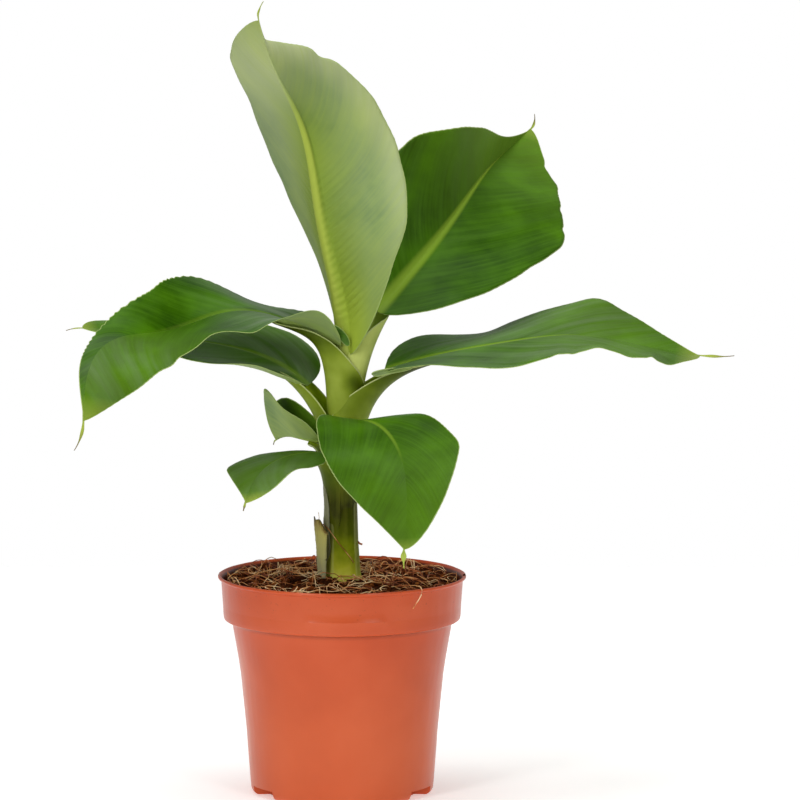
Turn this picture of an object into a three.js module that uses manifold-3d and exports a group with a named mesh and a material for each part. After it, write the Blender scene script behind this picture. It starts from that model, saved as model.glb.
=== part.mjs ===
// Young banana plant in a round plastic nursery pot, millimetres, +Z up.
// The origin is the middle of the pot's flat underside. +X is the side the long level leaf points to.
// Eight leaves spring from one stem. Each is a stalk, which starts as a sheath round the stem,
// and a blade with a midrib, two halves and a drip tip. Leaf 1 is the oldest, leaf 8 the youngest.
import * as THREE from "three";
import { mergeVertices } from "three/addons/utils/BufferGeometryUtils.js";
import Module from "manifold-3d";

// ---- pot: thin moulded plastic with a wider band under the lip
const POT_HEIGHT = 106;
const LIP_RADIUS = 60;
const LIP_HEIGHT = 2;
const BAND_HEIGHT = 21.5;
const BAND_TOP_RADIUS = 58.3;
const BAND_FOOT_RADIUS = 57.1;
const FOOT_RADIUS = 44.2;
const FOOT_HEIGHT = 3.5;
const BASE_RADIUS = 42.4;
const POT_WALL = 1.4;
const POT_SEGMENTS = 44;
// Tapered body between foot and band, radius and height: it flares more towards the top.
const POT_BODY = [
  [46.2, 30],
  [48.0, 48],
  [49.0, 58],
  [50.2, 66],
  [51.6, 74],
  [52.8, 80.4],
];
// Recesses under the edge that let water out.
const DRAIN_ANGLES = [-152, -28, 62, 118];
const DRAIN_WIDTH = 19;
const DRAIN_DEPTH = 8;
const DRAIN_HEIGHT = 4;

// ---- compost, domed up to the stem
const SOIL_MIDDLE = 104.2;
const SOIL_EDGE = 102.4;
// Clearance between neighbours, and the wider one between the crowded stalks.
const GAP = 0.3;
const STALK_GAP = 0.4;

// ---- stem: height, sideways place and radius from the foot in the compost up to the fork
const STEM = [
  [100, 0.6, 8.4],
  [106, 0.5, 8.1],
  [122, 0.0, 7.5],
  [150, -0.5, 7.2],
  [158, 0.3, 7.1],
  [166, 1.2, 6.2],
  [176, 2.4, 5.4],
  [187, 3.0, 4.2],
];
const STEM_SEGMENTS = 32;

// ---- dead stub of an old leaf sheath, standing in the compost beside the stem
const OLD_SHEATH_FOOT = 101;
const OLD_SHEATH_TOP = 133;
const OLD_SHEATH_SIDE = 202;
const OLD_SHEATH_RADIUS = 11.2;
const OLD_SHEATH_LEAN = 2.4;
const OLD_SHEATH_WALL = 1.3;
const OLD_SHEATH_WRAP = 26;
const OLD_SHEATH_NARROWING = 9;
const OLD_SHEATH_NOTCH = 2.4;

// ---- leaves
// joint: where the blade begins. bearing and climb: the way the midrib points, at even steps along it.
// roll: turn of the blade about its midrib. Each half has its width, where it is widest (peak), how
// blunt the base and the tip end are, its lift off the flat beside the midrib and its curl out to the
// margin. stalk: foot height, the side it stands on, outer radius, wrap each way round and wall at even
// steps. meets: the share of the blade where it joins the midrib. rise and run: how far it holds the
// direction of its foot and of its far end.
const LEAVES = [
  {
    number: 1, joint: [-8.5, -4, 166], length: 59, thick: 1.1,
    bearing: [206, 215, 232, 250], climb: [8, -9, -30, -53],
    roll: [-9, -8, -1, 1],
    left: {
      width: 21, peak: 0.66, base: 2.5, tip: 2.5, point: 0.56,
      lift: [-5, 8, 25], curl: [-15, -5],
    },
    right: {
      width: 20.5, peak: 0.68, base: 1.9, tip: 1.0, point: 1.3,
      lift: [-9, 1, 13], curl: [-17, -11],
    },
    drip: { length: 4, bearing: 230, climb: -65 },
    stalk: {
      foot: 140, side: 192, radius: [8.1, 7.8, 5], wrap: [75, 75, 50],
      wall: [1.2, 2.2, 2.4], meets: 0.14, rise: 15, run: 5,
    },
  },
  {
    number: 2, joint: [3.5, -16, 182.5], length: 113, thick: 1.3,
    bearing: [-58, -63, -73, -88, -104], climb: [16, -8, -30, -48, -66],
    roll: [-13, 7, 8, 12, 8],
    left: {
      width: 29, peak: 0.56, base: 1.0, tip: 1.0, point: 0.55,
      lift: [8, 15, 16, 11], curl: [-12, -11, -11],
    },
    right: {
      width: 36, peak: 0.46, base: 2.2, tip: 1.8, point: 0.98,
      lift: [10, 9, 5, 1], curl: [-10, -13, -16],
    },
    drip: { length: 9, bearing: -60, climb: -80 },
    stalk: {
      foot: 150, side: 272, radius: [8.2, 8, 5], wrap: [75, 80, 55],
      wall: [1.2, 2.6, 3], meets: 0.1, rise: 16, run: 8,
    },
  },
  {
    number: 3, joint: [-10, 4, 170], length: 37, thick: 1.1,
    bearing: [134, 126, 124, 135], climb: [0, 0, -3, -30],
    roll: [2, -4, -4, -2],
    left: {
      width: 26.5, peak: 0.77, base: 1.0, tip: 1.0, point: 0.55,
      lift: [57, 61, 76], curl: [0, 0],
    },
    right: {
      width: 23, peak: 0.8, base: 1.0, tip: 2.1, point: 0.5,
      lift: [52, 80, 98], curl: [0, 0],
    },
    drip: { length: 3, bearing: 150, climb: -75 },
    stalk: {
      foot: 152, side: 150, radius: [8.2, 7.5, 5], wrap: [60, 70, 50],
      wall: [1.2, 2.2, 2.4], meets: 0.14, rise: 9, run: 5,
    },
  },
  {
    number: 4, joint: [-16.3, 5, 197.5], length: 116, thick: 1.5,
    bearing: [160, 166, 174, 183, 190], climb: [44, 17, 7, 8, 4],
    roll: [-9, -12, -12, -9, -10],
    left: {
      width: 31, peak: 0.39, base: 1.3, tip: 1.6, point: 0.74,
      lift: [-35, -12, 2, 3], curl: [100, 8, 0],
    },
    right: {
      width: 29.5, peak: 0.35, base: 2.8, tip: 1.9, point: 0.55,
      lift: [13, 4, -4, 8], curl: [0, 0],
    },
    drip: { length: 8, bearing: 180, climb: -18 },
    stalk: {
      foot: 158, side: 172, radius: [8.2, 9, 7, 5.5], wrap: [85, 85, 80, 58],
      wall: [1.2, 2.2, 3.4, 4], meets: 0.16, rise: 24, run: 12,
    },
  },
  {
    number: 5, joint: [18.5, 0, 204.5], length: 157, thick: 1.8,
    bearing: [-3, 0, -4, -3, -2], climb: [22, 11, 7, -11, -7],
    roll: [17, 7, 12, 15, 21],
    left: {
      width: 41, peak: 0.67, base: 3.5, tip: 1.0, point: 1.2,
      lift: [15, -1, 9, 19], curl: [-7, -8, -5],
    },
    right: {
      width: 41, peak: 0.57, base: 2.1, tip: 1.9, point: 0.5,
      lift: [24, 0, 14, 19], curl: [-4, -6, -4],
    },
    drip: { length: 16.5, bearing: 0, climb: 6 },
    stalk: {
      foot: 160, side: 0, radius: [9.2, 10.1, 8.8, 5.4], wrap: [150, 148, 90, 50],
      wall: [1.2, 1.6, 2.6, 3], meets: 0.2, rise: 36, run: 22,
    },
  },
  {
    number: 6, joint: [-0.5, -6, 218], length: 177, thick: 2.0,
    bearing: [154, 180, 197, 218, 246, 271], climb: [24, 19, -18, 0, -31, -80],
    roll: [-28, -22, -25, -26, -13, -11],
    left: {
      width: 42, peak: 0.4, base: 2.4, tip: 2.8, point: 0.71,
      lift: [82, 18, 29, 2, -20], curl: [0, 0],
    },
    right: {
      width: 33, peak: 0.35, base: 1.6, tip: 1.0, point: 1.3,
      lift: [7, -17, 32, -17, 8], curl: [-8, -6, -6],
    },
    drip: { length: 15, bearing: 200, climb: -55 },
    stalk: {
      foot: 165, side: 178, radius: [7.6, 9.1, 8.6, 6], wrap: [170, 168, 132, 60],
      wall: [1.2, 1.6, 2.6, 3.4], meets: 0.19, rise: 44, run: 18,
    },
  },
  {
    number: 7, joint: [16.5, 3, 233.5], length: 166, thick: 1.9,
    bearing: [40, 51, 63, 71, 46], climb: [39, 34, 29, 13, 28],
    roll: [19, 29, 34, 33, 35],
    left: {
      width: 47, peak: 0.46, base: 2.0, tip: 1.0, point: 1.3,
      lift: [20, 36, 51, 63], curl: [-2, 8, 16],
    },
    right: {
      width: 53, peak: 0.53, base: 1.2, tip: 1.0, point: 0.68,
      lift: [1, 7, 13, 19], curl: [-10, -7, -3],
    },
    drip: { length: 8.5, bearing: 150, climb: 80 },
    stalk: {
      foot: 184, side: 6, radius: [6.8, 7.2, 7.2, 5.2], wrap: [150, 140, 105, 58],
      wall: [1.2, 1.6, 2.4, 3], meets: 0.13, rise: 30, run: 10,
    },
  },
  {
    number: 8, joint: [2, -1, 213], length: 188, thick: 2.0,
    bearing: [-147, -140, -125, -117, -120], climb: [86, 73, 74, 44, 68],
    roll: [-2, 4, 12, 26, 45],
    left: {
      width: 44, peak: 0.33, base: 1.0, tip: 2.7, point: 1.3,
      lift: [0, 13, 41, 72], curl: [-9, 10, 35],
    },
    right: {
      width: 44, peak: 0.5, base: 1.8, tip: 3.1, point: 0.76,
      lift: [23, 32, 44, 67], curl: [-4, 2, 12],
    },
    drip: { length: 10, bearing: 0, climb: 80 },
    stalk: {
      foot: 189, side: 210, radius: [4.2, 4.4, 4.2], wrap: [100, 85, 50],
      wall: [2, 2.4, 2.6], meets: 0.07, rise: 10, run: 8,
    },
  },
];
const SMALL_LEAF = 80;
const BLADE_GRID = { rows: 18, columns: 5 };
const SMALL_BLADE_GRID = { rows: 12, columns: 3 };
const STALK_GRID = { rows: 10, columns: 4 };
const LEAST_HALF_WIDTH = 1.2;
const DRIP_HALF_WIDTH = 1.1;
const DRIP_TAPER = 0.4;
const RIB_DEPTH_SHARE = 0.017;
const RIB_TAPER = 0.85;
const STALK_EDGE_THINNING = 0.45;
const RAD = Math.PI / 180;

const wasm = await Module();
wasm.setup();

// A value read along a list of evenly spaced ones, as a smooth curve through them.
function keys(list, t) {
  const last = list.length - 1;
  if (last < 1) return list[0];
  const x = Math.min(Math.max(t, 0), 1) * last;
  const i = Math.min(Math.floor(x), last - 1);
  const f = x - i;
  const b = list[i];
  const c = list[i + 1];
  const a = i > 0 ? list[i - 1] : 2 * b - c;
  const d = i < last - 1 ? list[i + 2] : 2 * c - b;
  const bend = (2 * a - 5 * b + 4 * c - d) * f * f + (3 * b - a - 3 * c + d) * f * f * f;
  return 0.5 * (2 * b + (c - a) * f + bend);
}

// The way a midrib points, its level left-hand side and the way its upper side faces.
function frame(bearing, climb, roll) {
  const b = bearing * RAD;
  const c = climb * RAD;
  const along = new THREE.Vector3(Math.cos(c) * Math.cos(b), Math.cos(c) * Math.sin(b), Math.sin(c));
  const left = new THREE.Vector3(-Math.sin(b), Math.cos(b), 0);
  return turned(along, left, roll);
}

// The same three directions after a roll about the first.
function turned(along, left, roll) {
  const up = new THREE.Vector3().crossVectors(along, left).normalize();
  const side = new THREE.Vector3().crossVectors(up, along);
  const c = Math.cos(roll * RAD);
  const s = Math.sin(roll * RAD);
  const newLeft = side.clone().multiplyScalar(c).addScaledVector(up, s);
  const newUp = up.clone().multiplyScalar(c).addScaledVector(side, -s);
  return { along, left: newLeft, up: newUp };
}

// Place and facing of a point on a cross-section. v is -1 at the left margin, 0 at the midrib
// and 1 at the right margin.
function across(at, axes, half, v) {
  const far = Math.abs(v);
  const lift = half.lift * RAD;
  const turn = half.curl * RAD * far;
  const reach = half.width * far;
  const flat = Math.abs(turn) < 1e-3;
  const out = flat ? Math.cos(lift) : (Math.sin(lift + turn) - Math.sin(lift)) / turn;
  const rise = flat ? Math.sin(lift) : (Math.cos(lift) - Math.cos(lift + turn)) / turn;
  const hand = v > 0 ? -1 : 1;
  const point = at.clone();
  point.addScaledVector(axes.left, hand * out * reach);
  point.addScaledVector(axes.up, rise * reach);
  const tilt = v === 0 ? 0 : lift + turn;
  const facing = axes.up.clone().multiplyScalar(Math.cos(tilt));
  facing.addScaledVector(axes.left, -hand * Math.sin(tilt));
  return { point, facing };
}

// The midrib of a blade as rows of place and direction, with three more rows for the drip tip.
function midrib(leaf, rows) {
  const at = new THREE.Vector3(...leaf.joint);
  const fine = 8;
  const list = [];
  for (let i = 0; i <= rows * fine; i++) {
    const u = i / (rows * fine);
    const axes = frame(keys(leaf.bearing, u), keys(leaf.climb, u), keys(leaf.roll, u));
    if (i % fine === 0) list.push({ u, at: at.clone(), axes, drip: 0 });
    const middle = (i + 0.5) / (rows * fine);
    const step = frame(keys(leaf.bearing, middle), keys(leaf.climb, middle), 0).along;
    at.addScaledVector(step, leaf.length / (rows * fine));
  }
  const end = list[rows];
  const tail = frame(leaf.drip.bearing, leaf.drip.climb, 0).along;
  const place = end.at.clone();
  for (let i = 1; i <= 3; i++) {
    const way = end.axes.along.clone().lerp(tail, i / 3).normalize();
    place.addScaledVector(way, leaf.drip.length / 3);
    list.push({ u: 1, at: place.clone(), axes: end.axes, drip: i / 3 });
  }
  return list;
}

// Width of one half at a share of the blade's length, never less than the thin end pieces.
function halfWidth(half, u, drip) {
  if (drip > 0) return DRIP_HALF_WIDTH - DRIP_TAPER * drip;
  const before = Math.max(0, (half.peak - u) / half.peak);
  const after = Math.max(0, (u - half.peak) / (1 - half.peak));
  const base = Math.sqrt(Math.max(0, 1 - before ** half.base));
  const tip = Math.max(0, 1 - after ** half.tip) ** half.point;
  return Math.max(LEAST_HALF_WIDTH, half.width * (u < half.peak ? base : tip));
}

// How far the midrib stands out under the blade.
function ribDepth(leaf, u) {
  const start = THREE.MathUtils.smoothstep(u, 0, leaf.stalk.meets + 0.05);
  return leaf.length * RIB_DEPTH_SHARE * start * (1 - RIB_TAPER * u);
}

// A blade as two grids of points, upper and lower side, larger all round by grow.
// The midrib is a ridge under the middle column.
function bladeGrids(leaf, { rows, columns }, grow) {
  const upper = [];
  const lower = [];
  for (const row of midrib(leaf, rows)) {
    const top = [];
    const under = [];
    for (let j = -columns; j <= columns; j++) {
      const v = j / columns;
      const side = v > 0 ? leaf.right : leaf.left;
      const section = {
        width: halfWidth(side, row.u, row.drip) + grow,
        lift: keys(side.lift, row.u) * (1 - row.drip),
        curl: keys(side.curl, row.u) * (1 - row.drip),
      };
      const { point, facing } = across(row.at, row.axes, section, v);
      const end = row.drip === 1 ? grow : row.u === 0 ? -grow : 0;
      point.addScaledVector(row.axes.along, end);
      const half = leaf.thick / 2;
      const depth = half + grow + (v === 0 ? ribDepth(leaf, row.u) : 0);
      top.push(point.clone().addScaledVector(facing, half + grow));
      under.push(point.clone().addScaledVector(facing, -depth));
    }
    upper.push(top);
    lower.push(under);
  }
  return { upper, lower };
}

// A level step of a given length towards one side.
function outward(side, length) {
  return new THREE.Vector3(length * Math.cos(side * RAD), length * Math.sin(side * RAD), 0);
}

// The line of a stalk: straight up out of its foot, then over to run along the blade's midrib.
function stalkLine(leaf) {
  const s = leaf.stalk;
  const foot = stemPlace(s.foot).add(outward(s.side, s.radius[0]));
  const rib = midrib(leaf, 100)[Math.round(s.meets * 100)];
  const under = leaf.thick / 2 + GAP + s.wall[s.wall.length - 1];
  const end = rib.at.clone().addScaledVector(rib.axes.up, -under);
  const high = foot.clone().add(new THREE.Vector3(0, 0, s.rise));
  const back = end.clone().addScaledVector(rib.axes.along, -s.run);
  return { curve: new THREE.CubicBezierCurve3(foot, high, back, end), rib };
}

// A stalk as two grids, channel side and outer side, larger all round by grow.
function stalkGrids(leaf, { rows, columns }, grow) {
  const s = leaf.stalk;
  const { curve, rib } = stalkLine(leaf);
  const bearing = keys(leaf.bearing, s.meets);
  const upper = [];
  const lower = [];
  for (let i = 0; i <= rows; i++) {
    const t = i / rows;
    const along = curve.getTangent(t);
    const side = THREE.MathUtils.lerp(nearTurn(s.side, bearing), bearing, t);
    const left = new THREE.Vector3(-Math.sin(side * RAD), Math.cos(side * RAD), 0);
    const axes = turned(along, left, keys(leaf.roll, s.meets) * t * t);
    const end = i === 0 ? -grow : i === rows ? grow : 0;
    const at = curve.getPoint(t).addScaledVector(along, end);
    const radius = keys(s.radius, t);
    const wrap = keys(s.wrap, t) + grow / (radius * RAD);
    const half = { width: radius * wrap * RAD, lift: 0, curl: wrap };
    const top = [];
    const under = [];
    for (let j = -columns; j <= columns; j++) {
      const v = j / columns;
      const { point, facing } = across(at, axes, half, v);
      const wall = keys(s.wall, t) * (1 - STALK_EDGE_THINNING * v * v);
      top.push(point.clone().addScaledVector(facing, wall + grow));
      under.push(point.clone().addScaledVector(facing, -grow));
    }
    upper.push(top);
    lower.push(under);
  }
  return { upper, lower };
}

// An angle written so that it is less than half a turn from another.
function nearTurn(angle, other) {
  return angle - 360 * Math.round((angle - other) / 360);
}

// The middle of the stem at a height.
function stemPlace(height) {
  let i = 0;
  while (i < STEM.length - 2 && STEM[i + 1][0] < height) i++;
  const f = Math.min((height - STEM[i][0]) / (STEM[i + 1][0] - STEM[i][0]), 1);
  return new THREE.Vector3(THREE.MathUtils.lerp(STEM[i][1], STEM[i + 1][1], f), 0, height);
}

// A closed solid between two grids of points.
function slab({ upper, lower }) {
  const rows = upper.length;
  const columns = upper[0].length;
  const points = [...upper.flat(), ...lower.flat()];
  const faces = [];
  const top = (i, j) => i * columns + j;
  const under = (i, j) => rows * columns + i * columns + j;
  const quad = (a, b, c, d) => faces.push(a, b, c, a, c, d);
  const last = columns - 1;
  for (let i = 0; i < rows - 1; i++) {
    for (let j = 0; j < columns - 1; j++) {
      quad(top(i, j), top(i, j + 1), top(i + 1, j + 1), top(i + 1, j));
      quad(under(i, j), under(i + 1, j), under(i + 1, j + 1), under(i, j + 1));
    }
    quad(top(i, 0), top(i + 1, 0), under(i + 1, 0), under(i, 0));
    quad(top(i + 1, last), top(i, last), under(i, last), under(i + 1, last));
  }
  for (let j = 0; j < columns - 1; j++) {
    quad(top(0, j + 1), top(0, j), under(0, j), under(0, j + 1));
    quad(top(rows - 1, j), top(rows - 1, j + 1), under(rows - 1, j + 1), under(rows - 1, j));
  }
  return solidFrom(points, faces);
}

// A closed solid from rings of points, with flat ends.
function tube(rings) {
  const count = rings[0].length;
  const points = rings.flat();
  const faces = [];
  for (let i = 0; i < rings.length - 1; i++) {
    for (let j = 0; j < count; j++) {
      const k = (j + 1) % count;
      faces.push(i * count + j, i * count + k, (i + 1) * count + k);
      faces.push(i * count + j, (i + 1) * count + k, (i + 1) * count + j);
    }
  }
  const last = (rings.length - 1) * count;
  const foot = points.push(centre(rings[0])) - 1;
  const head = points.push(centre(rings[rings.length - 1])) - 1;
  for (let j = 0; j < count; j++) {
    const k = (j + 1) % count;
    faces.push(foot, k, j);
    faces.push(head, last + j, last + k);
  }
  return solidFrom(points, faces);
}

function centre(points) {
  const sum = new THREE.Vector3();
  for (const p of points) sum.add(p);
  return sum.divideScalar(points.length);
}

// A level ring of points.
function ring(x, height, radius, count) {
  const list = [];
  for (let j = 0; j < count; j++) {
    list.push(new THREE.Vector3(x, 0, height).add(outward((j / count) * 360, radius)));
  }
  return list;
}

// A solid turned about the pot's axis from a profile of radius and height.
function turnedSolid(profile) {
  return tube(profile.map(([radius, height]) => ring(0, height, radius, POT_SEGMENTS)));
}

// A solid for cutting, from points and faces.
function solidFrom(points, faces) {
  const geometry = new THREE.BufferGeometry().setFromPoints(points);
  geometry.setIndex(faces);
  const merged = mergeVertices(geometry, 1e-4);
  const mesh = new wasm.Mesh({
    numProp: 3,
    vertProperties: merged.attributes.position.array,
    triVerts: new Uint32Array(merged.index.array),
  });
  return new wasm.Manifold(mesh);
}

// The largest piece left of a solid after the others are cut away.
function cutBy(solid, others) {
  let left = solid;
  for (const other of others) left = left.subtract(other);
  const pieces = left.decompose().sort((a, b) => b.volume() - a.volume());
  return pieces[0];
}

// Profile of the pot's outside, radius and height, from the underside up to the lip.
function potOutside() {
  const bandFoot = POT_HEIGHT - BAND_HEIGHT;
  return [
    [BASE_RADIUS, 0],
    [FOOT_RADIUS - 0.4, 1.2],
    [FOOT_RADIUS, FOOT_HEIGHT],
    ...POT_BODY,
    [BAND_FOOT_RADIUS, bandFoot],
    [BAND_FOOT_RADIUS + 0.3, bandFoot + 2.5],
    [BAND_TOP_RADIUS, POT_HEIGHT - 2 * LIP_HEIGHT],
    [LIP_RADIUS, POT_HEIGHT - LIP_HEIGHT],
    [LIP_RADIUS, POT_HEIGHT - 0.6],
    [LIP_RADIUS - 0.6, POT_HEIGHT],
  ];
}

// Profile of the pot's inside up to the lip, further in than the wall by clear.
// It follows every second ring of the body.
function potInside(clear) {
  const wall = POT_WALL + clear;
  const body = POT_BODY.filter((ring, i) => i % 2 === 1);
  const bandFoot = POT_HEIGHT - BAND_HEIGHT;
  return [
    [BASE_RADIUS - wall, wall],
    [FOOT_RADIUS - wall, FOOT_HEIGHT],
    ...body.map(([radius, height]) => [radius - wall, height]),
    [BAND_FOOT_RADIUS - wall, bandFoot + 1],
    [BAND_TOP_RADIUS - wall, POT_HEIGHT - 2 * LIP_HEIGHT],
  ];
}

// Blocks in the place of the drain recesses, larger by grow. Each runs out past the foot and the floor.
function drains(grow) {
  const past = 6;
  const below = 4;
  const size = [DRAIN_DEPTH + past + 2 * grow, DRAIN_WIDTH + 2 * grow, DRAIN_HEIGHT + below + 2 * grow];
  const middle = FOOT_RADIUS + (past - DRAIN_DEPTH) / 2;
  return DRAIN_ANGLES.map((angle) => {
    const block = wasm.Manifold.cube(size, true);
    return block.translate([middle, 0, (DRAIN_HEIGHT - below) / 2]).rotate([0, 0, angle]);
  });
}

// The pot: outside less inside, with the drain recesses pushed in through its foot.
function pot() {
  const mouth = [
    [LIP_RADIUS - 1.8, POT_HEIGHT - 0.6],
    [LIP_RADIUS - 1.2, POT_HEIGHT + 1],
  ];
  let hollow = turnedSolid([...potInside(0), ...mouth]);
  for (const block of drains(POT_WALL)) hollow = hollow.subtract(block);
  return cutBy(turnedSolid(potOutside()), [hollow, ...drains(0)]);
}

// The compost: the pot's inside up to its level, domed towards the middle.
function soil(cutters) {
  const profile = potInside(GAP).filter(([, height]) => height < SOIL_EDGE - 4);
  const rim = BAND_TOP_RADIUS - POT_WALL - GAP - 0.4;
  const shoulder = SOIL_EDGE + (SOIL_MIDDLE - SOIL_EDGE) * 0.45;
  profile.push([rim, SOIL_EDGE], [rim * 0.75, shoulder], [rim * 0.35, SOIL_MIDDLE]);
  return cutBy(turnedSolid(profile), [...drains(POT_WALL + GAP), ...cutters]);
}

// The stem, larger all round by grow.
function stem(grow) {
  const last = STEM.length - 1;
  const rings = STEM.map(([height, x, radius], i) => {
    const end = i === 0 ? -grow : i === last ? grow : 0;
    return ring(x, height + end, radius + grow, STEM_SEGMENTS);
  });
  return tube(rings);
}

// The old sheath: a strip curved about the stem that leans out and narrows upwards, with a torn top.
function oldSheath(grow) {
  const rows = 8;
  const columns = 3;
  const height = OLD_SHEATH_TOP - OLD_SHEATH_FOOT;
  const upper = [];
  const lower = [];
  for (let i = 0; i <= rows; i++) {
    const t = i / rows;
    const end = i === 0 ? -grow : i === rows ? grow : 0;
    const outer = OLD_SHEATH_RADIUS + OLD_SHEATH_LEAN * t;
    const wrap = OLD_SHEATH_WRAP - OLD_SHEATH_NARROWING * t + grow / (outer * RAD);
    const top = [];
    const under = [];
    for (let j = columns; j >= -columns; j--) {
      const side = OLD_SHEATH_SIDE + (wrap * j) / columns;
      const notch = i === rows ? OLD_SHEATH_NOTCH * Math.abs(Math.sin(j * 1.3)) : 0;
      const at = stemPlace(OLD_SHEATH_FOOT).setZ(OLD_SHEATH_FOOT + height * t + end - notch);
      top.push(at.clone().add(outward(side, outer - OLD_SHEATH_WALL - grow)));
      under.push(at.clone().add(outward(side, outer + grow)));
    }
    upper.push(top);
    lower.push(under);
  }
  return slab({ upper, lower });
}

// A mesh with its own material, from a solid.
function named(name, solid, colour, roughness) {
  const { vertProperties, triVerts, numProp } = solid.getMesh();
  const geometry = new THREE.BufferGeometry();
  geometry.setAttribute("position", new THREE.BufferAttribute(Float32Array.from(vertProperties), numProp));
  geometry.setIndex([...triVerts]);
  const flat = geometry.toNonIndexed();
  flat.computeVertexNormals();
  const mesh = new THREE.Mesh(flat, new THREE.MeshStandardMaterial({ color: colour, roughness }));
  mesh.name = name;
  return mesh;
}

// Blades, the youngest first: each later one is cut clear of those before it.
const inward = [...LEAVES].reverse();
const blades = [];
const bladeSpace = [];
for (const leaf of inward) {
  const grid = leaf.length < SMALL_LEAF ? SMALL_BLADE_GRID : BLADE_GRID;
  blades.push([leaf.number, cutBy(slab(bladeGrids(leaf, grid, 0)), bladeSpace)]);
  bladeSpace.push(slab(bladeGrids(leaf, grid, GAP)));
}

// Stalks, the youngest first: each is cut clear of the stem, the blades and the stalks inside it.
const stemSpace = stem(GAP);
const stalks = [];
const stalkSpace = [];
for (const leaf of inward) {
  const taken = [stemSpace, ...stalkSpace, ...bladeSpace];
  stalks.push([leaf.number, cutBy(slab(stalkGrids(leaf, STALK_GRID, 0)), taken)]);
  stalkSpace.push(slab(stalkGrids(leaf, STALK_GRID, STALK_GAP)));
}

const group = new THREE.Group();
group.name = "banana_plant_in_pot";
group.add(named("pot", pot(), 0xcf6440, 0.45));
group.add(named("soil", soil([stemSpace, oldSheath(GAP)]), 0x4a2a18, 1.0));
group.add(named("stem", stem(0), 0x8a9a3c, 0.6));
group.add(named("old_sheath", cutBy(oldSheath(0), [stemSpace]), 0xb8b070, 0.8));
for (const [number, solid] of stalks) group.add(named(`stalk_${number}`, solid, 0x93a846, 0.55));
for (const [number, solid] of blades) group.add(named(`blade_${number}`, solid, 0x4a7a1a, 0.5));

export default group;
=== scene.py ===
# Young banana plant in a moulded nursery pot. Metres, +Z up, on the floor at Z = 0.
import math
import random

import bpy
import numpy as np
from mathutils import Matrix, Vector, noise


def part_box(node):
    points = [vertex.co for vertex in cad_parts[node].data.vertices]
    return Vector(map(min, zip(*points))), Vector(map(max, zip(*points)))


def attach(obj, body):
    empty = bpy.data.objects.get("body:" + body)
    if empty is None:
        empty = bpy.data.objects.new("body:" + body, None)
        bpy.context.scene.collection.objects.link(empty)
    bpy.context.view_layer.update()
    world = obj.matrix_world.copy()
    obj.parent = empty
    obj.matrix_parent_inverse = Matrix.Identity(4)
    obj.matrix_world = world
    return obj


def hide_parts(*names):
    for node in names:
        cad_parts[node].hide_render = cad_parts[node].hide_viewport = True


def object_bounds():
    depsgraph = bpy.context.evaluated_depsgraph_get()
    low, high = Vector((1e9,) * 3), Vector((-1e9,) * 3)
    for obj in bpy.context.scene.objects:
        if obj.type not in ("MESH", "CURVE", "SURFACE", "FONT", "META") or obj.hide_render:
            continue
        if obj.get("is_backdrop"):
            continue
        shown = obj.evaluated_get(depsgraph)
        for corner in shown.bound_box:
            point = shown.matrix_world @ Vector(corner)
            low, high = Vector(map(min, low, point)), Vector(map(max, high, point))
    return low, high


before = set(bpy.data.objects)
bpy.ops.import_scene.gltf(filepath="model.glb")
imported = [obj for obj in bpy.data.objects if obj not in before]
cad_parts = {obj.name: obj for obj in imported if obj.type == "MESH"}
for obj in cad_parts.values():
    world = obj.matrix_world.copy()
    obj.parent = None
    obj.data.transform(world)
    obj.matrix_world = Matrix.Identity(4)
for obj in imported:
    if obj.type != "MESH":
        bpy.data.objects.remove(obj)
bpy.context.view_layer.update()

MM = 0.001

# ---------------------------------------------------------------------------------------------
# Pot. A thin nursery pot, injection moulded in terracotta-coloured polypropylene: a tapered body,
# a wider band under the lip for stacking, and a raised base with four recesses at its edge that
# let water out.
_, pot_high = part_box("pot")
POT_HEIGHT = pot_high.z / MM
POT_WALL = 1.0
POT_SEGMENTS = 288
DRAIN_ANGLES = (-152, -28, 62, 118)
DRAIN_HALF_WIDTH = 9.5
DRAIN_RADIUS = 36.2
DRAIN_HEIGHT = 4.0
FOOT_RADIUS = 42
FLOW_LINE = 91.3
# Radius and height down the outside and back up the inside, from the middle of the base.
POT_OUTSIDE = (
    (0, 0.9), (20, 0.9), (36, 0.9), (37, 0.15), (38, 0), (41.6, 0), (42.5, 0.25), (43.4, 0.9), (44.0, 2.0),
    (44.2, 3.4), (44.25, 4.0), (44.3, 4.4), (44.9, 12), (45.6, 21), (46.2, 30), (47.1, 39), (48.0, 48),
    (49.0, 58), (50.2, 66), (51.0, 70.5), (51.6, 74), (52.4, 78.4), (52.8, 80.8), (53.0, 82.4), (53.3, 83.4),
    (54.0, 84.1), (55.2, 84.4), (56.4, 84.5), (57.0, 84.9), (57.25, 85.8), (57.35, 87), (57.58, 90.9),
    (57.7, FLOW_LINE), (57.62, 91.7), (57.95, 96.5), (58.3, 101.6), (58.4, 103.2), (58.5, 103.9),
    (58.9, 104.25), (59.7, 104.5), (59.98, 104.9), (60.0, 105.4), (59.8, 105.8), (59.3, 106.0), (58.8, 105.8),
    (58.5, 105.2),
)
POT_INSIDE = (
    (57.9, 104.3), (57.4, 102.8), (57.2, 101.4), (56.9, 96.5), (56.5, 91), (56.2, 87), (55.9, 86.1),
    (55.2, 85.6), (53.6, 85.3), (52.6, 84.8), (52.1, 83.8), (51.9, 82.4), (51.6, 80.8), (50.5, 74),
    (49.1, 66), (46.9, 48), (45.1, 30), (43.9, 12), (43.2, 4.4), (42.8, 3.0), (41.6, 2.0), (40, 1.9),
    (37, 1.9), (20, 1.9), (0, 1.9),
)


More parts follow.
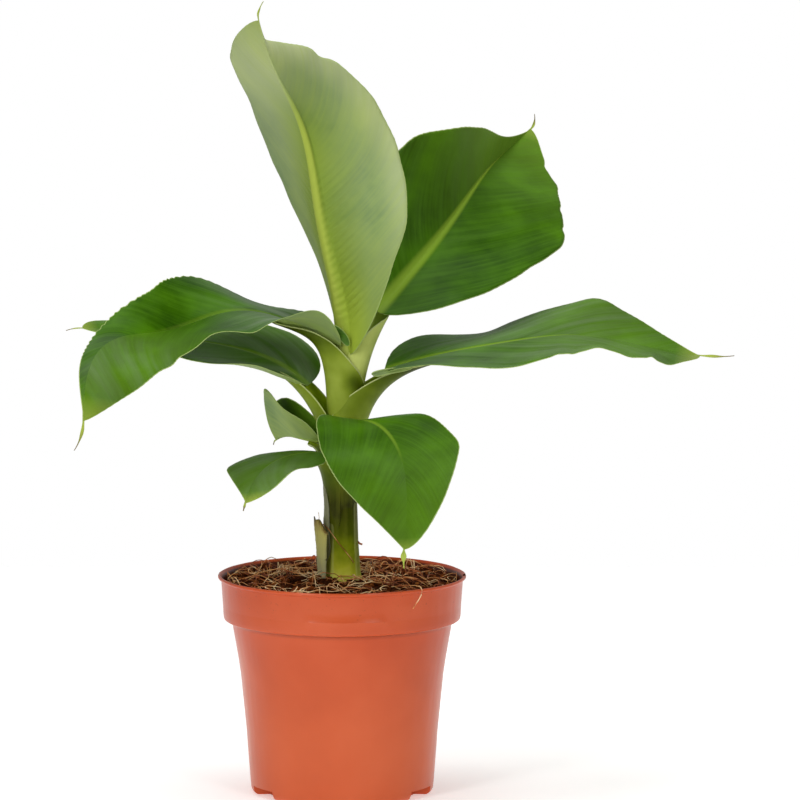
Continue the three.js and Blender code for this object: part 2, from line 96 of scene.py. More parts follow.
def linear(hex_colour):
    """An sRGB hex colour as linear RGBA."""
    parts = [int(hex_colour[i:i + 2], 16) / 255 for i in (1, 3, 5)]
    return tuple(c / 12.92 if c <= 0.04045 else ((c + 0.055) / 1.055) ** 2.4 for c in parts) + (1,)


def fill(node, inputs):
    """Fills a node's inputs: a socket, or a node's first live output, is linked. The rest is set."""
    for name, value in inputs.items():
        if isinstance(value, bpy.types.Node):
            value = next(output for output in value.outputs if output.enabled)
        if isinstance(value, bpy.types.NodeSocket):
            node.id_data.links.new(value, node.inputs[name])
        else:
            node.inputs[name].default_value = linear(value) if isinstance(value, str) else value


def add(tree, kind, inputs=None, stops=(), **settings):
    """Adds one node with its inputs and settings. Stops are a colour ramp's places and colours."""
    made = tree.nodes.new("ShaderNode" + kind)
    for name, value in settings.items():
        setattr(made, name, value)
    fill(made, inputs or {})
    while stops and len(made.color_ramp.elements) < len(stops):
        made.color_ramp.elements.new(0.5)
    for k, (place, colour) in enumerate(stops):
        made.color_ramp.elements[k].position = place
        made.color_ramp.elements[k].color = linear(colour)
    return made


def material(name):
    """A new node material: its tree and its surface shader."""
    made = bpy.data.materials.new(name)
    made.use_nodes = True
    return made, made.node_tree, made.node_tree.nodes["Principled BSDF"]


def piece(name, points, faces, materials, slot, nodes, sharp=180):
    """A smooth shaded piece of the plant, points in millimetres. It rides on the pot's body."""
    mesh = bpy.data.meshes.new(name)
    mesh.from_pydata([tuple(p) for p in np.asarray(points, float) * MM], [], [tuple(f) for f in faces])
    for made in materials:
        mesh.materials.append(made)
    mesh.shade_smooth()
    mesh.set_sharp_from_angle(angle=math.radians(sharp))
    obj = bpy.data.objects.new(name, mesh)
    bpy.context.scene.collection.objects.link(obj)
    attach(obj, "root")
    if nodes:
        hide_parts(*nodes)
    return obj


def note(obj, name, values):
    """Stores one value, or three, for each point, for the material to read."""
    values = np.asarray(values, float)
    kind = "FLOAT" if values.ndim == 1 else "FLOAT_VECTOR"
    layer = obj.data.attributes.new(name, kind, "POINT")
    layer.data.foreach_set("value" if values.ndim == 1 else "vector", values.ravel())


def noted(tree, name, parts=False):
    """The value noted for each point, or the three parts of one."""
    read = add(tree, "Attribute", attribute_name=name).outputs
    return add(tree, "SeparateXYZ", {"Vector": read["Vector"]}).outputs if parts else read["Fac"]


def step(low, high, x):
    """Smooth rise from 0 at low to 1 at high."""
    t = np.clip((np.asarray(x, float) - low) / (high - low), 0, 1)
    return t * t * (3 - 2 * t)


def grid_faces(rows, columns, first=0, closed=False, flip=False):
    """Four-sided faces over a grid of points, kept row by row. A closed one joins its last column."""
    faces = []
    for i in range(rows - 1):
        for j in range(columns if closed else columns - 1):
            k = (j + 1) % columns
            face = (i * columns + j, i * columns + k, (i + 1) * columns + k, (i + 1) * columns + j)
            faces.append(tuple(first + n for n in (face[::-1] if flip else face)))
    return faces


def closed_ends(rows, segments, flip=False):
    """Fans of faces that close a grid's first and last rings onto the two points after the grid."""
    middle, last = rows * segments, (rows - 1) * segments
    faces = []
    for j in range(segments):
        a, b = (j, (j + 1) % segments)[::-1 if flip else 1]
        faces += [(middle, a, b), (middle + 1, last + b, last + a)]
    return faces


def in_drain(angles, spread):
    """1 where a direction round the pot lies in a drain recess."""
    inside = np.zeros(len(angles))
    for middle in DRAIN_ANGLES:
        off = np.abs(np.radians((angles - middle + 180) % 360 - 180))
        inside = np.maximum(inside, (off * FOOT_RADIUS < DRAIN_HALF_WIDTH + spread) * 1.0)
    return inside


def pot_points():
    """Points of the pot, ring by ring down the outside and back up the inside, and their number."""
    angles = np.arange(POT_SEGMENTS) / POT_SEGMENTS * 360
    turn = np.radians(angles)
    # A lip of soft thin plastic is never quite true.
    wave = 0.16 * np.sin(3 * turn + 1.0) + 0.12 * np.sin(7 * turn) + 0.07 * np.sin(17 * turn + 2)
    rows = []
    for radius, height in POT_OUTSIDE[1:]:
        lip = step(102, 105, height)
        r = np.full(POT_SEGMENTS, float(radius))
        if height <= DRAIN_HEIGHT:
            r = np.where(in_drain(angles, 0) > 0, np.minimum(r, DRAIN_RADIUS), r)
        r = r - 0.25 * lip * np.abs(wave)
        if height == FLOW_LINE:
            # It is a faint ridge across the front of the band, and fades out round the sides.
            front = (turn - 4.75 + math.pi) % math.tau - math.pi
            r = r - 0.13 + 0.22 * (1 - step(0.30, 0.38, np.abs(front)))
        z = height - lip * (0.12 + 0.6 * wave) * 0.5
        rows.append(np.stack([r * np.cos(turn), r * np.sin(turn), np.minimum(z, POT_HEIGHT) + 0 * r], -1))
    for radius, height in POT_INSIDE[:-1]:
        over = (in_drain(angles, POT_WALL) > 0) & (radius > DRAIN_RADIUS - POT_WALL)
        z = np.where(over & (height < DRAIN_HEIGHT + POT_WALL), DRAIN_HEIGHT + POT_WALL, height)
        rows.append(np.stack([radius * np.cos(turn), radius * np.sin(turn), z], -1))
    return np.concatenate(rows), len(rows)


# Polypropylene, moulded against a fine eroded tool: satin, with soft stretched reflections and a
# faint orange-peel surface. The colour is pigment all through, slightly paler where the flow met.
# Scales are waves a metre: flow marks of 45 mm, dust specks of 1 mm, shallow sinks of 14 mm, and
# peel of 0.7 mm, which is coarser than the real one so that it shows.
polypropylene, tree, skin = material("terracotta polypropylene, moulded")
place = add(tree, "TexCoord").outputs["Object"]
flow = add(tree, "TexNoise", {"Vector": place, "Scale": 22.0, "Detail": 3.0})
colour = add(tree, "ValToRGB", {"Fac": flow}, ((0.3, "#BC4A22"), (0.5, "#C55128"), (0.72, "#CC5A32")))
height = add(tree, "SeparateXYZ", {"Vector": place}).outputs["Z"]
# Painted light: below the band the wall is painted paler and more orange towards the foot.
painted_low_light = add(tree, "MapRange", {"Value": height, "From Min": 0.078, "From Max": 0.03, "To Max": 0.3})
# Compost dust clings in specks near the lip.
speck = add(tree, "TexNoise", {"Vector": place, "Scale": 900.0, "Detail": 2.0})
high = add(tree, "MapRange", {"Value": height, "From Min": 0.088, "From Max": 0.106})
dust = add(tree, "MapRange", {"Value": speck, "From Min": 0.66, "From Max": 0.74})
dusty = add(tree, "Math", {0: dust, 1: high}, operation="MULTIPLY")
dulled = add(tree, "Math", {0: dusty, 1: 0.6}, operation="MULTIPLY")
# A painted shadow darkens the body just under the band, and the inside of the pot is painted darker as painted
# shade.
band_foot = add(tree, "MapRange", {"Value": height, "From Min": 0.080, "From Max": 0.088})
painted_band_shadow = add(tree, "ValToRGB", {"Fac": band_foot},
            ((0.26, "#000000"), (0.4, "#909090"), (0.5, "#C0C0C0"), (0.56, "#000000")))
painted_inside_shade = noted(tree, "inside")
for share, over in ((painted_low_light, "#DC7040"), (dulled, "#4A2A1A"), (painted_band_shadow, "#70280E"), (painted_inside_shade, "#431A0C")):
    colour = add(tree, "Mix", {"Factor": share, "A": colour, "B": over}, data_type="RGBA")
peel = add(tree, "TexNoise", {"Vector": place, "Scale": 1400.0, "Detail": 2.0})
fine = add(tree, "Bump", {"Height": peel, "Strength": 0.12, "Distance": 0.0002})
upright = add(tree, "Mapping", {"Vector": place, "Scale": (1, 1, 0.3)})
sink = add(tree, "TexNoise", {"Vector": upright, "Scale": 70.0, "Detail": 2.0})
wavy = add(tree, "Bump", {"Height": sink, "Strength": 0.35, "Distance": 0.0012, "Normal": fine})
fill(skin, {"Base Color": colour, "Normal": wavy, "Roughness": 0.28, "IOR": 1.49, "Specular IOR Level": 0.28})

points, rows = pot_points()
faces = grid_faces(rows, POT_SEGMENTS, closed=True, flip=True)
faces += closed_ends(rows, POT_SEGMENTS, flip=True)
points = np.vstack([points, [0, 0, POT_OUTSIDE[0][1]], [0, 0, POT_INSIDE[-1][1]]])
pot = piece("nursery_pot", points, faces, [polypropylene], "pot_plastic", ["pot"], sharp=38)
# Painted shade: the inside of the pot is painted darker.
INSIDE_SHADE = 0.95
outer, inner = ((len(profile) - 1) * POT_SEGMENTS for profile in (POT_OUTSIDE, POT_INSIDE))
note(pot, "inside", np.repeat([0, INSIDE_SHADE, 0, INSIDE_SHADE], [outer, inner, 1, 1]))

# ---------------------------------------------------------------------------------------------
# Compost. Moist peat with coir, pressed into the pot to just under the lip and banked up round
# the stem: dark crumbs, with many tan coir fibres and fine dry roots lying loose on top.
SOIL_RADIUS = 56.2
SOIL_HEIGHT = 102.9
SOIL_RINGS = 72
SOIL_SEGMENTS = 260
STEM_AT_SOIL = 0.6
# Radius and height of the part out of sight: down the inside of the pot and in over its base.
BURIED = ((55.6, 98), (55.0, 90), (51.0, 80), (48.0, 62), (45.2, 40), (43.4, 12), (35, 8), (34.4, 3.2))


def soil_height(x, y):
    """Height of the compost, in millimetres, at a place in the pot."""
    out = math.hypot(x, y) / SOIL_RADIUS
    mound = math.exp(-((math.hypot(x - STEM_AT_SOIL, y) - 6) / 14) ** 2)
    lumps = noise.fractal(Vector((x, y, 3)) / 9, 0.9, 2.1, 4)
    grit = noise.noise(Vector((x, y, 9)) / 1.3)
    crown = 1.0 * (1 - out * out) + 0.7 * mound - 0.7 * max(0, out - 0.95) / 0.05
    return SOIL_HEIGHT + crown + 1.25 * lumps + 0.35 * grit


points = []
for radius, level in [(SOIL_RADIUS * i / SOIL_RINGS, None) for i in range(1, SOIL_RINGS + 1)] + list(BURIED):
    for j in range(SOIL_SEGMENTS):
        turn = j / SOIL_SEGMENTS * math.tau
        x, y = radius * math.cos(turn), radius * math.sin(turn)
        points.append((x, y, level or soil_height(x, y)))
rows = SOIL_RINGS + len(BURIED)
faces = grid_faces(rows, SOIL_SEGMENTS, closed=True, flip=True)
faces += closed_ends(rows, SOIL_SEGMENTS)
points += [(0, 0, soil_height(0, 0)), (0, 0, BURIED[-1][1])]

# Peat: crumbs of half-rotted moss, dark and quite matt, from black-brown in the wet hollows to
# red-brown where the top has dried. Its clumps are about 4 mm across.
peat, tree, skin = material("peat and coir compost")
place = add(tree, "TexCoord").outputs["Object"]
clumps = add(tree, "TexNoise", {"Vector": place, "Scale": 260.0, "Detail": 6.0, "Roughness": 0.7})
colour = add(tree, "ValToRGB", {"Fac": clumps},
             ((0.36, "#240C01"), (0.5, "#421A06"), (0.62, "#66300E"), (0.74, "#8E5428")))
crumb = add(tree, "Bump", {"Height": clumps, "Strength": 1.0, "Distance": 0.0016})
fill(skin, {"Base Color": colour, "Normal": crumb, "Roughness": 0.95, "Specular IOR Level": 0.05})
piece("compost", points, faces, [peat], "compost", ["soil"])

# Loose crumbs, each a small uneven lump with its own brown and pits of 0.7 mm.
CRUMBS = 620
LUMP = [(0, 0, 1), (0, 0, -1)]
for z, start in ((0.45, 0.5), (-0.45, 0)):
    LUMP += [(math.cos(k * math.tau / 6 + start) * 0.89, math.sin(k * math.tau / 6 + start) * 0.89, z)
             for k in range(6)]
LUMP_FACES = ([(0, 2 + k, 2 + (k + 1) % 6) for k in range(6)] + [(1, 8 + (k + 1) % 6, 8 + k) for k in range(6)]
              + [(2 + k, 8 + k, 8 + (k + 1) % 6) for k in range(6)]
              + [(2 + k, 8 + (k + 1) % 6, 2 + (k + 1) % 6) for k in range(6)])
CRUMBS_WITHIN = 55.6
CRUMBS_CLEAR_OF_STEM = 9.5
draw = random.Random(41)
points, tones = [], []
while len(points) < CRUMBS * len(LUMP):
    x, y = draw.uniform(-55, 55), draw.uniform(-55, 55)
    if math.hypot(x, y) > CRUMBS_WITHIN or math.hypot(x - STEM_AT_SOIL, y) < CRUMBS_CLEAR_OF_STEM:
        continue
    size = draw.uniform(0.5, 1.1) * (2.0 if draw.random() < 0.12 else 1.0)
    spin = draw.uniform(0, math.tau)
    tones += [draw.random()] * len(LUMP)
    for px, py, pz in LUMP:
        grow = size * draw.uniform(0.7, 1.25)
        px, py = px * math.cos(spin) - py * math.sin(spin), px * math.sin(spin) + py * math.cos(spin)
        points.append((x + 1.3 * px * grow, y + py * grow, soil_height(x, y) + 0.3 * size + 0.75 * pz * grow))
# One crumb sticks to the lip on the right.
points += [(59.0 + 0.7 * px, -2 + 1.2 * py, 105.9 + 0.7 * pz) for px, py, pz in LUMP]
tones += [0.3] * len(LUMP)
faces = [tuple(first + n for n in face) for first in range(0, len(points), len(LUMP)) for face in LUMP_FACES]
crumb_skin, tree, skin = material("dry peat crumbs")
place = add(tree, "TexCoord").outputs["Object"]
colour = add(tree, "ValToRGB", {"Fac": noted(tree, "tone")},
             ((0.0, "#2A0E02"), (0.55, "#4E2208"), (0.85, "#783C16"), (1.0, "#9C5C2C")))
pit = add(tree, "TexNoise", {"Vector": place, "Scale": 1500.0, "Detail": 3.0})
pitted = add(tree, "Bump", {"Height": pit, "Strength": 0.7, "Distance": 0.0004})
fill(skin, {"Base Color": colour, "Normal": pitted, "Roughness": 0.95, "Specular IOR Level": 0.05})
crumbs = piece("peat_crumbs", points, faces, [crumb_skin], "compost", [])
note(crumbs, "tone", tones)


def strands(paths, sides=5):
    """Round threads as one mesh: each path is a list of (point, radius). Ends are closed."""
    points, faces = [], []
    for path in paths:
        centre = np.array([p for p, _ in path], float)
        along = np.gradient(centre, axis=0)
        along /= np.linalg.norm(along, axis=1)[:, None] + 1e-9
        across = np.cross(along, (0.13, 0.21, 0.97))
        across /= np.linalg.norm(across, axis=1)[:, None] + 1e-9
        third = np.cross(along, across)
        first = len(points)
        for i, (_, radius) in enumerate(path):
            for j in range(sides):
                a = j / sides * math.tau
                points.append(centre[i] + radius * (math.cos(a) * across[i] + math.sin(a) * third[i]))
        faces += grid_faces(len(path), sides, first, closed=True)
        faces.append(tuple(first + j for j in reversed(range(sides))))
        faces.append(tuple(first + (len(path) - 1) * sides + j for j in range(sides)))
    return points, faces


FIBRES_WITHIN = 55.3
FIBRES_CLEAR_OF_STEM = 9.2


def wandering(length, hump, radius, draw):
    """A loose fibre: it wanders over the compost, rises in a low hump and tapers to both ends."""
    while True:
        x, y = draw.uniform(-55, 55), draw.uniform(-55, 55)
        if math.hypot(x, y) < 54.5:
            break
    heading, bend = draw.uniform(0, math.tau), 0
    count = 12
    path = []
    for i in range(count):
        t = i / (count - 1)
        # It stays inside the pot and goes round the stem.
        if math.hypot(x, y) > FIBRES_WITHIN:
            x, y = (place * FIBRES_WITHIN / math.hypot(x, y) for place in (x, y))
        off = math.hypot(x - STEM_AT_SOIL, y)
        if off < FIBRES_CLEAR_OF_STEM:
            x, y = (place * FIBRES_CLEAR_OF_STEM / max(off, 1) for place in (x - STEM_AT_SOIL, y))
            x += STEM_AT_SOIL
        z = soil_height(x, y) + radius + hump * math.sin(math.pi * t) + 0.2
        path.append(((x, y, z), radius * (0.45 + 0.55 * math.sin(math.pi * min(1, 0.15 + t * 0.85)))))
        bend = 0.6 * bend + draw.gauss(0, 0.2)
        heading += bend
        x += math.cos(heading) * length / count
        y += math.sin(heading) * length / count
    return path


# Coir: stiff hairs from the coconut husk, faintly glossy. They turn from tan to red-brown and
# back about every 9 mm.
coir, tree, skin = material("coir fibre and dry root")
place = add(tree, "TexCoord").outputs["Object"]
shade = add(tree, "TexNoise", {"Vector": place, "Scale": 110.0, "Detail": 2.0})
colour = add(tree, "ValToRGB", {"Fac": shade},
             ((0.34, "#7C3812"), (0.44, "#B8642E"), (0.53, "#E2A062"), (0.64, "#FFDCAC")))
fill(skin, {"Base Color": colour, "Roughness": 0.6})

draw = random.Random(7)
paths = []
# Fine ones first, then coarser ones: the ranges of length, hump and radius.
for number, *ranges in ((150, (6, 16), (0.1, 1.6), (0.08, 0.14)), (125, (14, 38), (1.0, 4.5), (0.15, 0.3))):
    for _ in range(number):
        paths.append(wandering(*(draw.uniform(*span) for span in ranges), draw))
# Stiffer ones stand up in loops and tufts, where the compost was broken up: the middle and the
# spread of each tuft and its number of fibres.
TUFTS = ((-27, 6, 9, 18, 17), (14, 8, 13, 16, 16), (34, 14, 8, 12, 8))
for middle_x, middle_y, spread_x, spread_y, number in TUFTS:
    for _ in range(number):
        x, y = draw.gauss(middle_x, spread_x * 0.6), draw.gauss(middle_y, spread_y * 0.6)
        if math.hypot(x, y) > 50 or math.hypot(x - STEM_AT_SOIL, y) < 11:
            continue
        base = soil_height(x, y)
        heading, tall = draw.uniform(0, math.tau), draw.uniform(2.5, 7.0)
        reach, lean = draw.uniform(3, 11), draw.uniform(-2.5, 2.5)
        radius = draw.uniform(0.15, 0.26)
        path = []
        for i in range(11):
            t = i / 10
            go = reach * (t - 0.5)
            path.append(((x + math.cos(heading) * go + lean * t * t, y + math.sin(heading) * go,
                          base - 0.6 + tall * math.sin(math.pi * t ** 0.85)), radius * (1 - 0.5 * t)))
        paths.append(path)
# One long fibre hangs out over the lip at the front.
over_lip = [(24, -34, 105.2), (30, -40, 107.0), (35.5, -45.2, 107.6), (37.9, -47.4, 107.3), (38.6, -48.4, 105.9),
            (38.2, -48.4, 103.6), (37.0, -48.9, 101.4), (35.6, -49.4, 99.4), (34.2, -50.0, 97.2)]
paths.append([(p, 0.24) for p in over_lip])
piece("coir_fibres", *strands(paths), [coir], "compost", [])

# ---------------------------------------------------------------------------------------------
# Stem. Not wood but the leaf bases rolled tight round each other, so it is smooth, juicy and
# slightly oval. The edges of the outer sheaths run up it, and the oldest has dried to a strip.
STEM_SEGMENTS = 180
# Height, sideways place and radius.
STEM = (
    (100, 0.6, 8.4), (106, 0.5, 8.1), (122, 0.0, 7.5), (150, -0.5, 7.2), (158, 0.3, 7.1), (166, 1.2, 6.2),
    (176, 2.4, 5.4), (187, 3.0, 4.2),
)
# Sheath edges: the side each starts on, the side it ends on, how high it reaches and its thickness.
SHEATH_EDGES = ((-38, 62, 150, 0.35), (100, 174, 140, 0.3), (-180, -124, 152, 0.2))
SHEATH_TWIST = 0.12


def stem_at(height):
    """Sideways place and radius of the stem at a height."""
    rows = np.array(STEM, float)
    return np.interp(height, rows[:, 0], rows[:, 1]), np.interp(height, rows[:, 0], rows[:, 2])


angles = np.arange(STEM_SEGMENTS) / STEM_SEGMENTS * 360 - 180
turn = np.radians(angles)
rows, edge_and_side_light_rows = [], []
for height in np.arange(99.5, 186.6, 1.0):
    x, radius = stem_at(height)
    flare = 0.8 * math.exp(-((height - 101) / 4) ** 2)
    r = radius * (1 + 0.012 * np.cos(2 * turn + 0.6)) + flare * (0.7 + 0.5 * np.sin(5 * turn + 1))
    edge = np.zeros(STEM_SEGMENTS)
    for start, end, top, thick in SHEATH_EDGES:
        centre, half = (start + end) / 2, (end - start) / 2
        off = np.abs((angles - centre - SHEATH_TWIST * (height - 120) + 180) % 360 - 180)
        inside = 1 - step(half - 3, half + 3, off)
        reach = 1 - step(top - 12, top, height)
        r = r + thick * inside * reach
        # The edge itself is palest, a dry line, and the whole of an outer sheath is painted paler than the stem,
        # which is painted light on the stem's sides.
        for pale_and_lit in (np.exp(-((off - half + 2) / 3.5) ** 2), 0.55 * inside):
            edge = np.maximum(edge, pale_and_lit * reach)
    rows.append(np.stack([x + r * np.cos(turn), r * np.sin(turn), height + 0 * r], -1))
    edge_and_side_light_rows.append(edge)
faces = grid_faces(len(rows), STEM_SEGMENTS, closed=True)
faces.append(tuple(reversed(range(STEM_SEGMENTS))))
faces.append(tuple((len(rows) - 1) * STEM_SEGMENTS + j for j in range(STEM_SEGMENTS)))


def stem_green(tree):
    """The stem's green by height: fresh at the foot, a dark band above that is painted shade below the leaves,
    olive at the top. It wanders in patches of 12 mm. Fibres inside show as faint upright lines, drawn 2 mm apart,
    which is coarser than they are."""
    place = add(tree, "TexCoord").outputs["Object"]
    height = add(tree, "SeparateXYZ", {"Vector": place}).outputs["Z"]
    up = add(tree, "MapRange", {"Value": height, "From Min": 0.102, "From Max": 0.162})
    wander = add(tree, "TexNoise", {"Vector": place, "Scale": 80.0, "Detail": 3.0})
    shift = add(tree, "Math", {0: wander, 1: 0.45, 2: -0.22}, operation="MULTIPLY_ADD")
    level = add(tree, "Math", {0: up, 1: shift}, operation="ADD")
    # The darkest stops in the middle are painted shade below the leaves.
    green = add(tree, "ValToRGB", {"Fac": level},
                ((0.0, "#D2CC58"), (0.12, "#B2B62E"), (0.26, "#7E8A0C"), (0.4, "#505C02"),
                 (0.6, "#2E3200"), (0.78, "#4E540C"), (1.0, "#6A721E")))
    lines = add(tree, "Mapping", {"Vector": place, "Scale": (1, 1, 0.05)})
    line = add(tree, "TexNoise", {"Vector": lines, "Scale": 500.0, "Detail": 3.0})
    lined = add(tree, "MapRange", {"Value": line, "From Min": 0.4, "From Max": 0.8, "To Max": 0.14})
    return add(tree, "Mix", {"Factor": lined, "A": green, "B": "#A8A83C"}, data_type="RGBA"), line


# Sheath skin: living green, moist and satin, pale at the foot and olive higher up, with a dark band between that
# is painted shade.
# The outer sheaths are painted paler, as painted light on the stem's sides, with a dry line along their edges.
sheath_skin, tree, skin = material("banana stem skin")
green, line = stem_green(tree)
# Pale dry edges of the sheaths, and painted light: the outer sheaths are painted paler on the stem's sides.
edged = add(tree, "Math", {0: noted(tree, "edge"), 1: 0.4}, operation="MULTIPLY")
full = add(tree, "Mix", {"Factor": edged, "A": green, "B": "#B0B078"}, data_type="RGBA")
ribbed = add(tree, "Bump", {"Height": line, "Strength": 0.1, "Distance": 0.0003})
fill(skin, {"Base Color": full, "Normal": ribbed, "Roughness": 0.45, "Specular IOR Level": 0.04})
stem = piece("rolled_stem", np.concatenate(rows), faces, [sheath_skin], "stem_skin", ["stem"])
note(stem, "edge", np.concatenate(edge_and_side_light_rows))


def sheet(upper, lower, flip=False):
    """Points and faces of a thin closed sheet: its two grids of points and the edges between."""
    rows, across = upper.shape[:2]
    under = rows * across
    rim = []
    for i in range(rows - 1):
        a, b = i * across, (i + 1) * across
        rim.append((a, b, under + b, under + a))
        a, b = a + across - 1, b + across - 1
        rim.append((b, a, under + a, under + b))
    for a in range(across - 1):
        b = (rows - 1) * across + a
        rim += [(a + 1, a, under + a, under + a + 1), (b, b + 1, under + b + 1, under + b)]
    faces = grid_faces(rows, across, flip=flip) + grid_faces(rows, across, under, flip=not flip)
    faces += [face[::-1] if flip else face for face in rim]
    return np.concatenate([upper.reshape(-1, 3), lower.reshape(-1, 3)]), faces


def note_sheet(obj, name, shape, *grids):
    """Notes values for both sides of a sheet. Each grid spreads over the sheet's own shape."""
    grids = [np.broadcast_to(grid, (2, *shape)).ravel() for grid in grids]
    note(obj, name, np.stack(grids, -1) if len(grids) > 1 else grids[0])


def rind(name, heights, sides, thick, sap, nodes, draw):
    """A thin strip of old sheath round the stem. At a height, sides gives its two sides, its radius
    and how far its top edge is raised across it."""
    across = np.linspace(0, 1, 13)
    outer, away = [], []
    for height in heights:
        first, last, r, top = sides(height)
        turn = np.radians(first + (last - first) * across)
        lip = r + 0.12 * np.sin(across * 9 + height * 0.35) + 0.1 * draw.uniform(-1, 1, len(across))
        x, _ = stem_at(height)
        outer.append(np.stack([x + lip * np.cos(turn), lip * np.sin(turn), height + top(across)], -1))
        away.append(np.stack([np.cos(turn), np.sin(turn), 0 * turn], -1))
    taper = (1 - 0.6 * np.abs(2 * across - 1) ** 3)[None, :, None]
    outer, inner = np.array(outer), np.array(outer) - np.array(away) * thick * taper
    strip = piece(name, *sheet(outer, inner, flip=True), [dying_skin], "stem_skin", nodes)
    rise = np.linspace(0, 1, len(heights))[:, None] * sap
    note_sheet(strip, "strip_place", outer.shape[:2], rise, across, np.reshape([1, 0], (2, 1, 1)))


# Dying sheath: pale straw green low down where some sap is left, grey-brown and papery at the top
# and along its edges, with dark specks in every 4 mm or so. Dull, with fibres 1 mm apart.
dying_skin, tree, skin = material("withered banana sheath")
place = add(tree, "TexCoord").outputs["Object"]
parts = noted(tree, "strip_place", parts=True)
lines = add(tree, "Mapping", {"Vector": place, "Scale": (1, 1, 0.1)})
line = add(tree, "TexNoise", {"Vector": lines, "Scale": 900.0, "Detail": 3.0})
wander = add(tree, "Math", {0: line, 1: 0.3, 2: -0.15}, operation="MULTIPLY_ADD")
height = add(tree, "Math", {0: wander, 1: parts["X"]}, operation="ADD")
colour = add(tree, "ValToRGB", {"Fac": height},
             ((0.0, "#8C8C70"), (0.1, "#9A9A78"), (0.3, "#B6B284"), (0.5, "#CCC880"), (0.82, "#CAC26C"),
              (0.94, "#AE9A50"), (1.0, "#7A6230")))
papery = add(tree, "ValToRGB", {"Fac": parts["Y"]},
             ((0.0, "#808080"), (0.3, "#404040"), (0.5, "#101010"), (0.9, "#101010"), (1.0, "#808080")))
spots = add(tree, "TexNoise", {"Vector": place, "Scale": 260.0, "Detail": 1.0})
spotted = add(tree, "MapRange", {"Value": spots, "From Min": 0.68, "From Max": 0.76, "To Max": 0.8})
for share, over in ((papery, "#6E6E60"), (spotted, "#3B2C1A")):
    colour = add(tree, "Mix", {"Factor": share, "A": colour, "B": over}, data_type="RGBA")
ribbed = add(tree, "Bump", {"Height": line, "Strength": 0.5, "Distance": 0.0004})
fill(skin, {"Base Color": colour, "Normal": ribbed, "Roughness": 0.7, "Specular IOR Level": 0.2})

OLD_SHEATH_FOOT = 101.0
OLD_SHEATH_TOP = 133.0
OLD_SHEATH_RADIUS = 12.0
OLD_SHEATH_LEAN = 1.4
# The side it starts on, and the side it ends on at its foot and at its top.
OLD_SHEATH_SIDES = (178, 223, 240)


def stub_sides(height):
    """The stub of the oldest leaf: wider and further out at its torn top."""
    t = (height - OLD_SHEATH_FOOT) / (OLD_SHEATH_TOP - OLD_SHEATH_FOOT)
    first, last_low, last_high = OLD_SHEATH_SIDES
    tear = lambda across: step(0.8, 1, t) * (1.6 * np.exp(-((across - 0.5) / 0.2) ** 2)
                                             + 2.2 * np.exp(-((across - 0.02) / 0.07) ** 2)
                                             - 4.4 * step(0.6, 1.0, across) - 0.8)
    # Its foot is out of sight in the compost and doesn't lean.
    radius = OLD_SHEATH_RADIUS + OLD_SHEATH_LEAN * max(t, 0) ** 1.3
    return first, last_low + (last_high - last_low) * t, radius, tear


MARGIN_FOOT = 108
MARGIN_TOP = 162


def margin_sides(height):
    """The dried margin of the next sheath: a strip down one side of the stem to a point."""
    t = (height - MARGIN_FOOT) / (MARGIN_TOP - MARGIN_FOOT)
    last = 188 + 38 * step(0, 0.2, t) - 44 * step(0.55, 1, t)
    _, radius = stem_at(height)
    reach = radius + 0.7 + 0.5 * step(0.15, 0.4, t)
    return 178.0, last, reach + 0.15 * math.sin(height * 0.3), lambda across: 0 * across


draw = np.random.RandomState(77)
rind("dead_leaf_stub", np.linspace(OLD_SHEATH_FOOT - 1.5, OLD_SHEATH_TOP, 34), stub_sides, 1.2, 1, ["old_sheath"],
     draw)
rind("dry_sheath_margin", np.linspace(MARGIN_FOOT, MARGIN_TOP, 50), margin_sides, 0.5, 0.08, [], draw)

# Threads torn from the dead sheath: one lies across the stem, one stands on the stub, and a nub
# is left where a side thread broke off. The first is given by side, height and how far off the
# stem it hangs.
ACROSS_STEM = ((214, 131.5, 2.8), (226, 129, 0.9), (237, 126.5, 0), (259, 122.5, 0), (281, 118.4, 0),
               (296, 115.5, 0), (309, 112.6, 0))
across_stem = []
for side, height, off in ACROSS_STEM:
    x, radius = stem_at(height)
    reach, turn = radius + 0.8 + off, math.radians(side)
    across_stem.append((x + reach * math.cos(turn), reach * math.sin(turn), height))
hair = ((-11.3, -4.6, 132), (-11.0, -4.7, 134.5), (-11.3, -4.8, 137))
nub = ((7.4, -1.5, 122.5), (8.6, -1.8, 121.2), (9.8, -2.0, 120.9))
paths = [[(p, radius) for p in line] for line, radius in ((across_stem, 0.2), (hair, 0.14), (nub, 0.5))]
piece("dry_threads", *strands(paths), [coir], "stem_skin", [])

# ---------------------------------------------------------------------------------------------
# Leaves, the oldest first. Each grew out of the stem in one: a stalk that starts as a sheath, a
# midrib that runs on from it, and a thin soft blade on both sides, whose drip tip withers first.

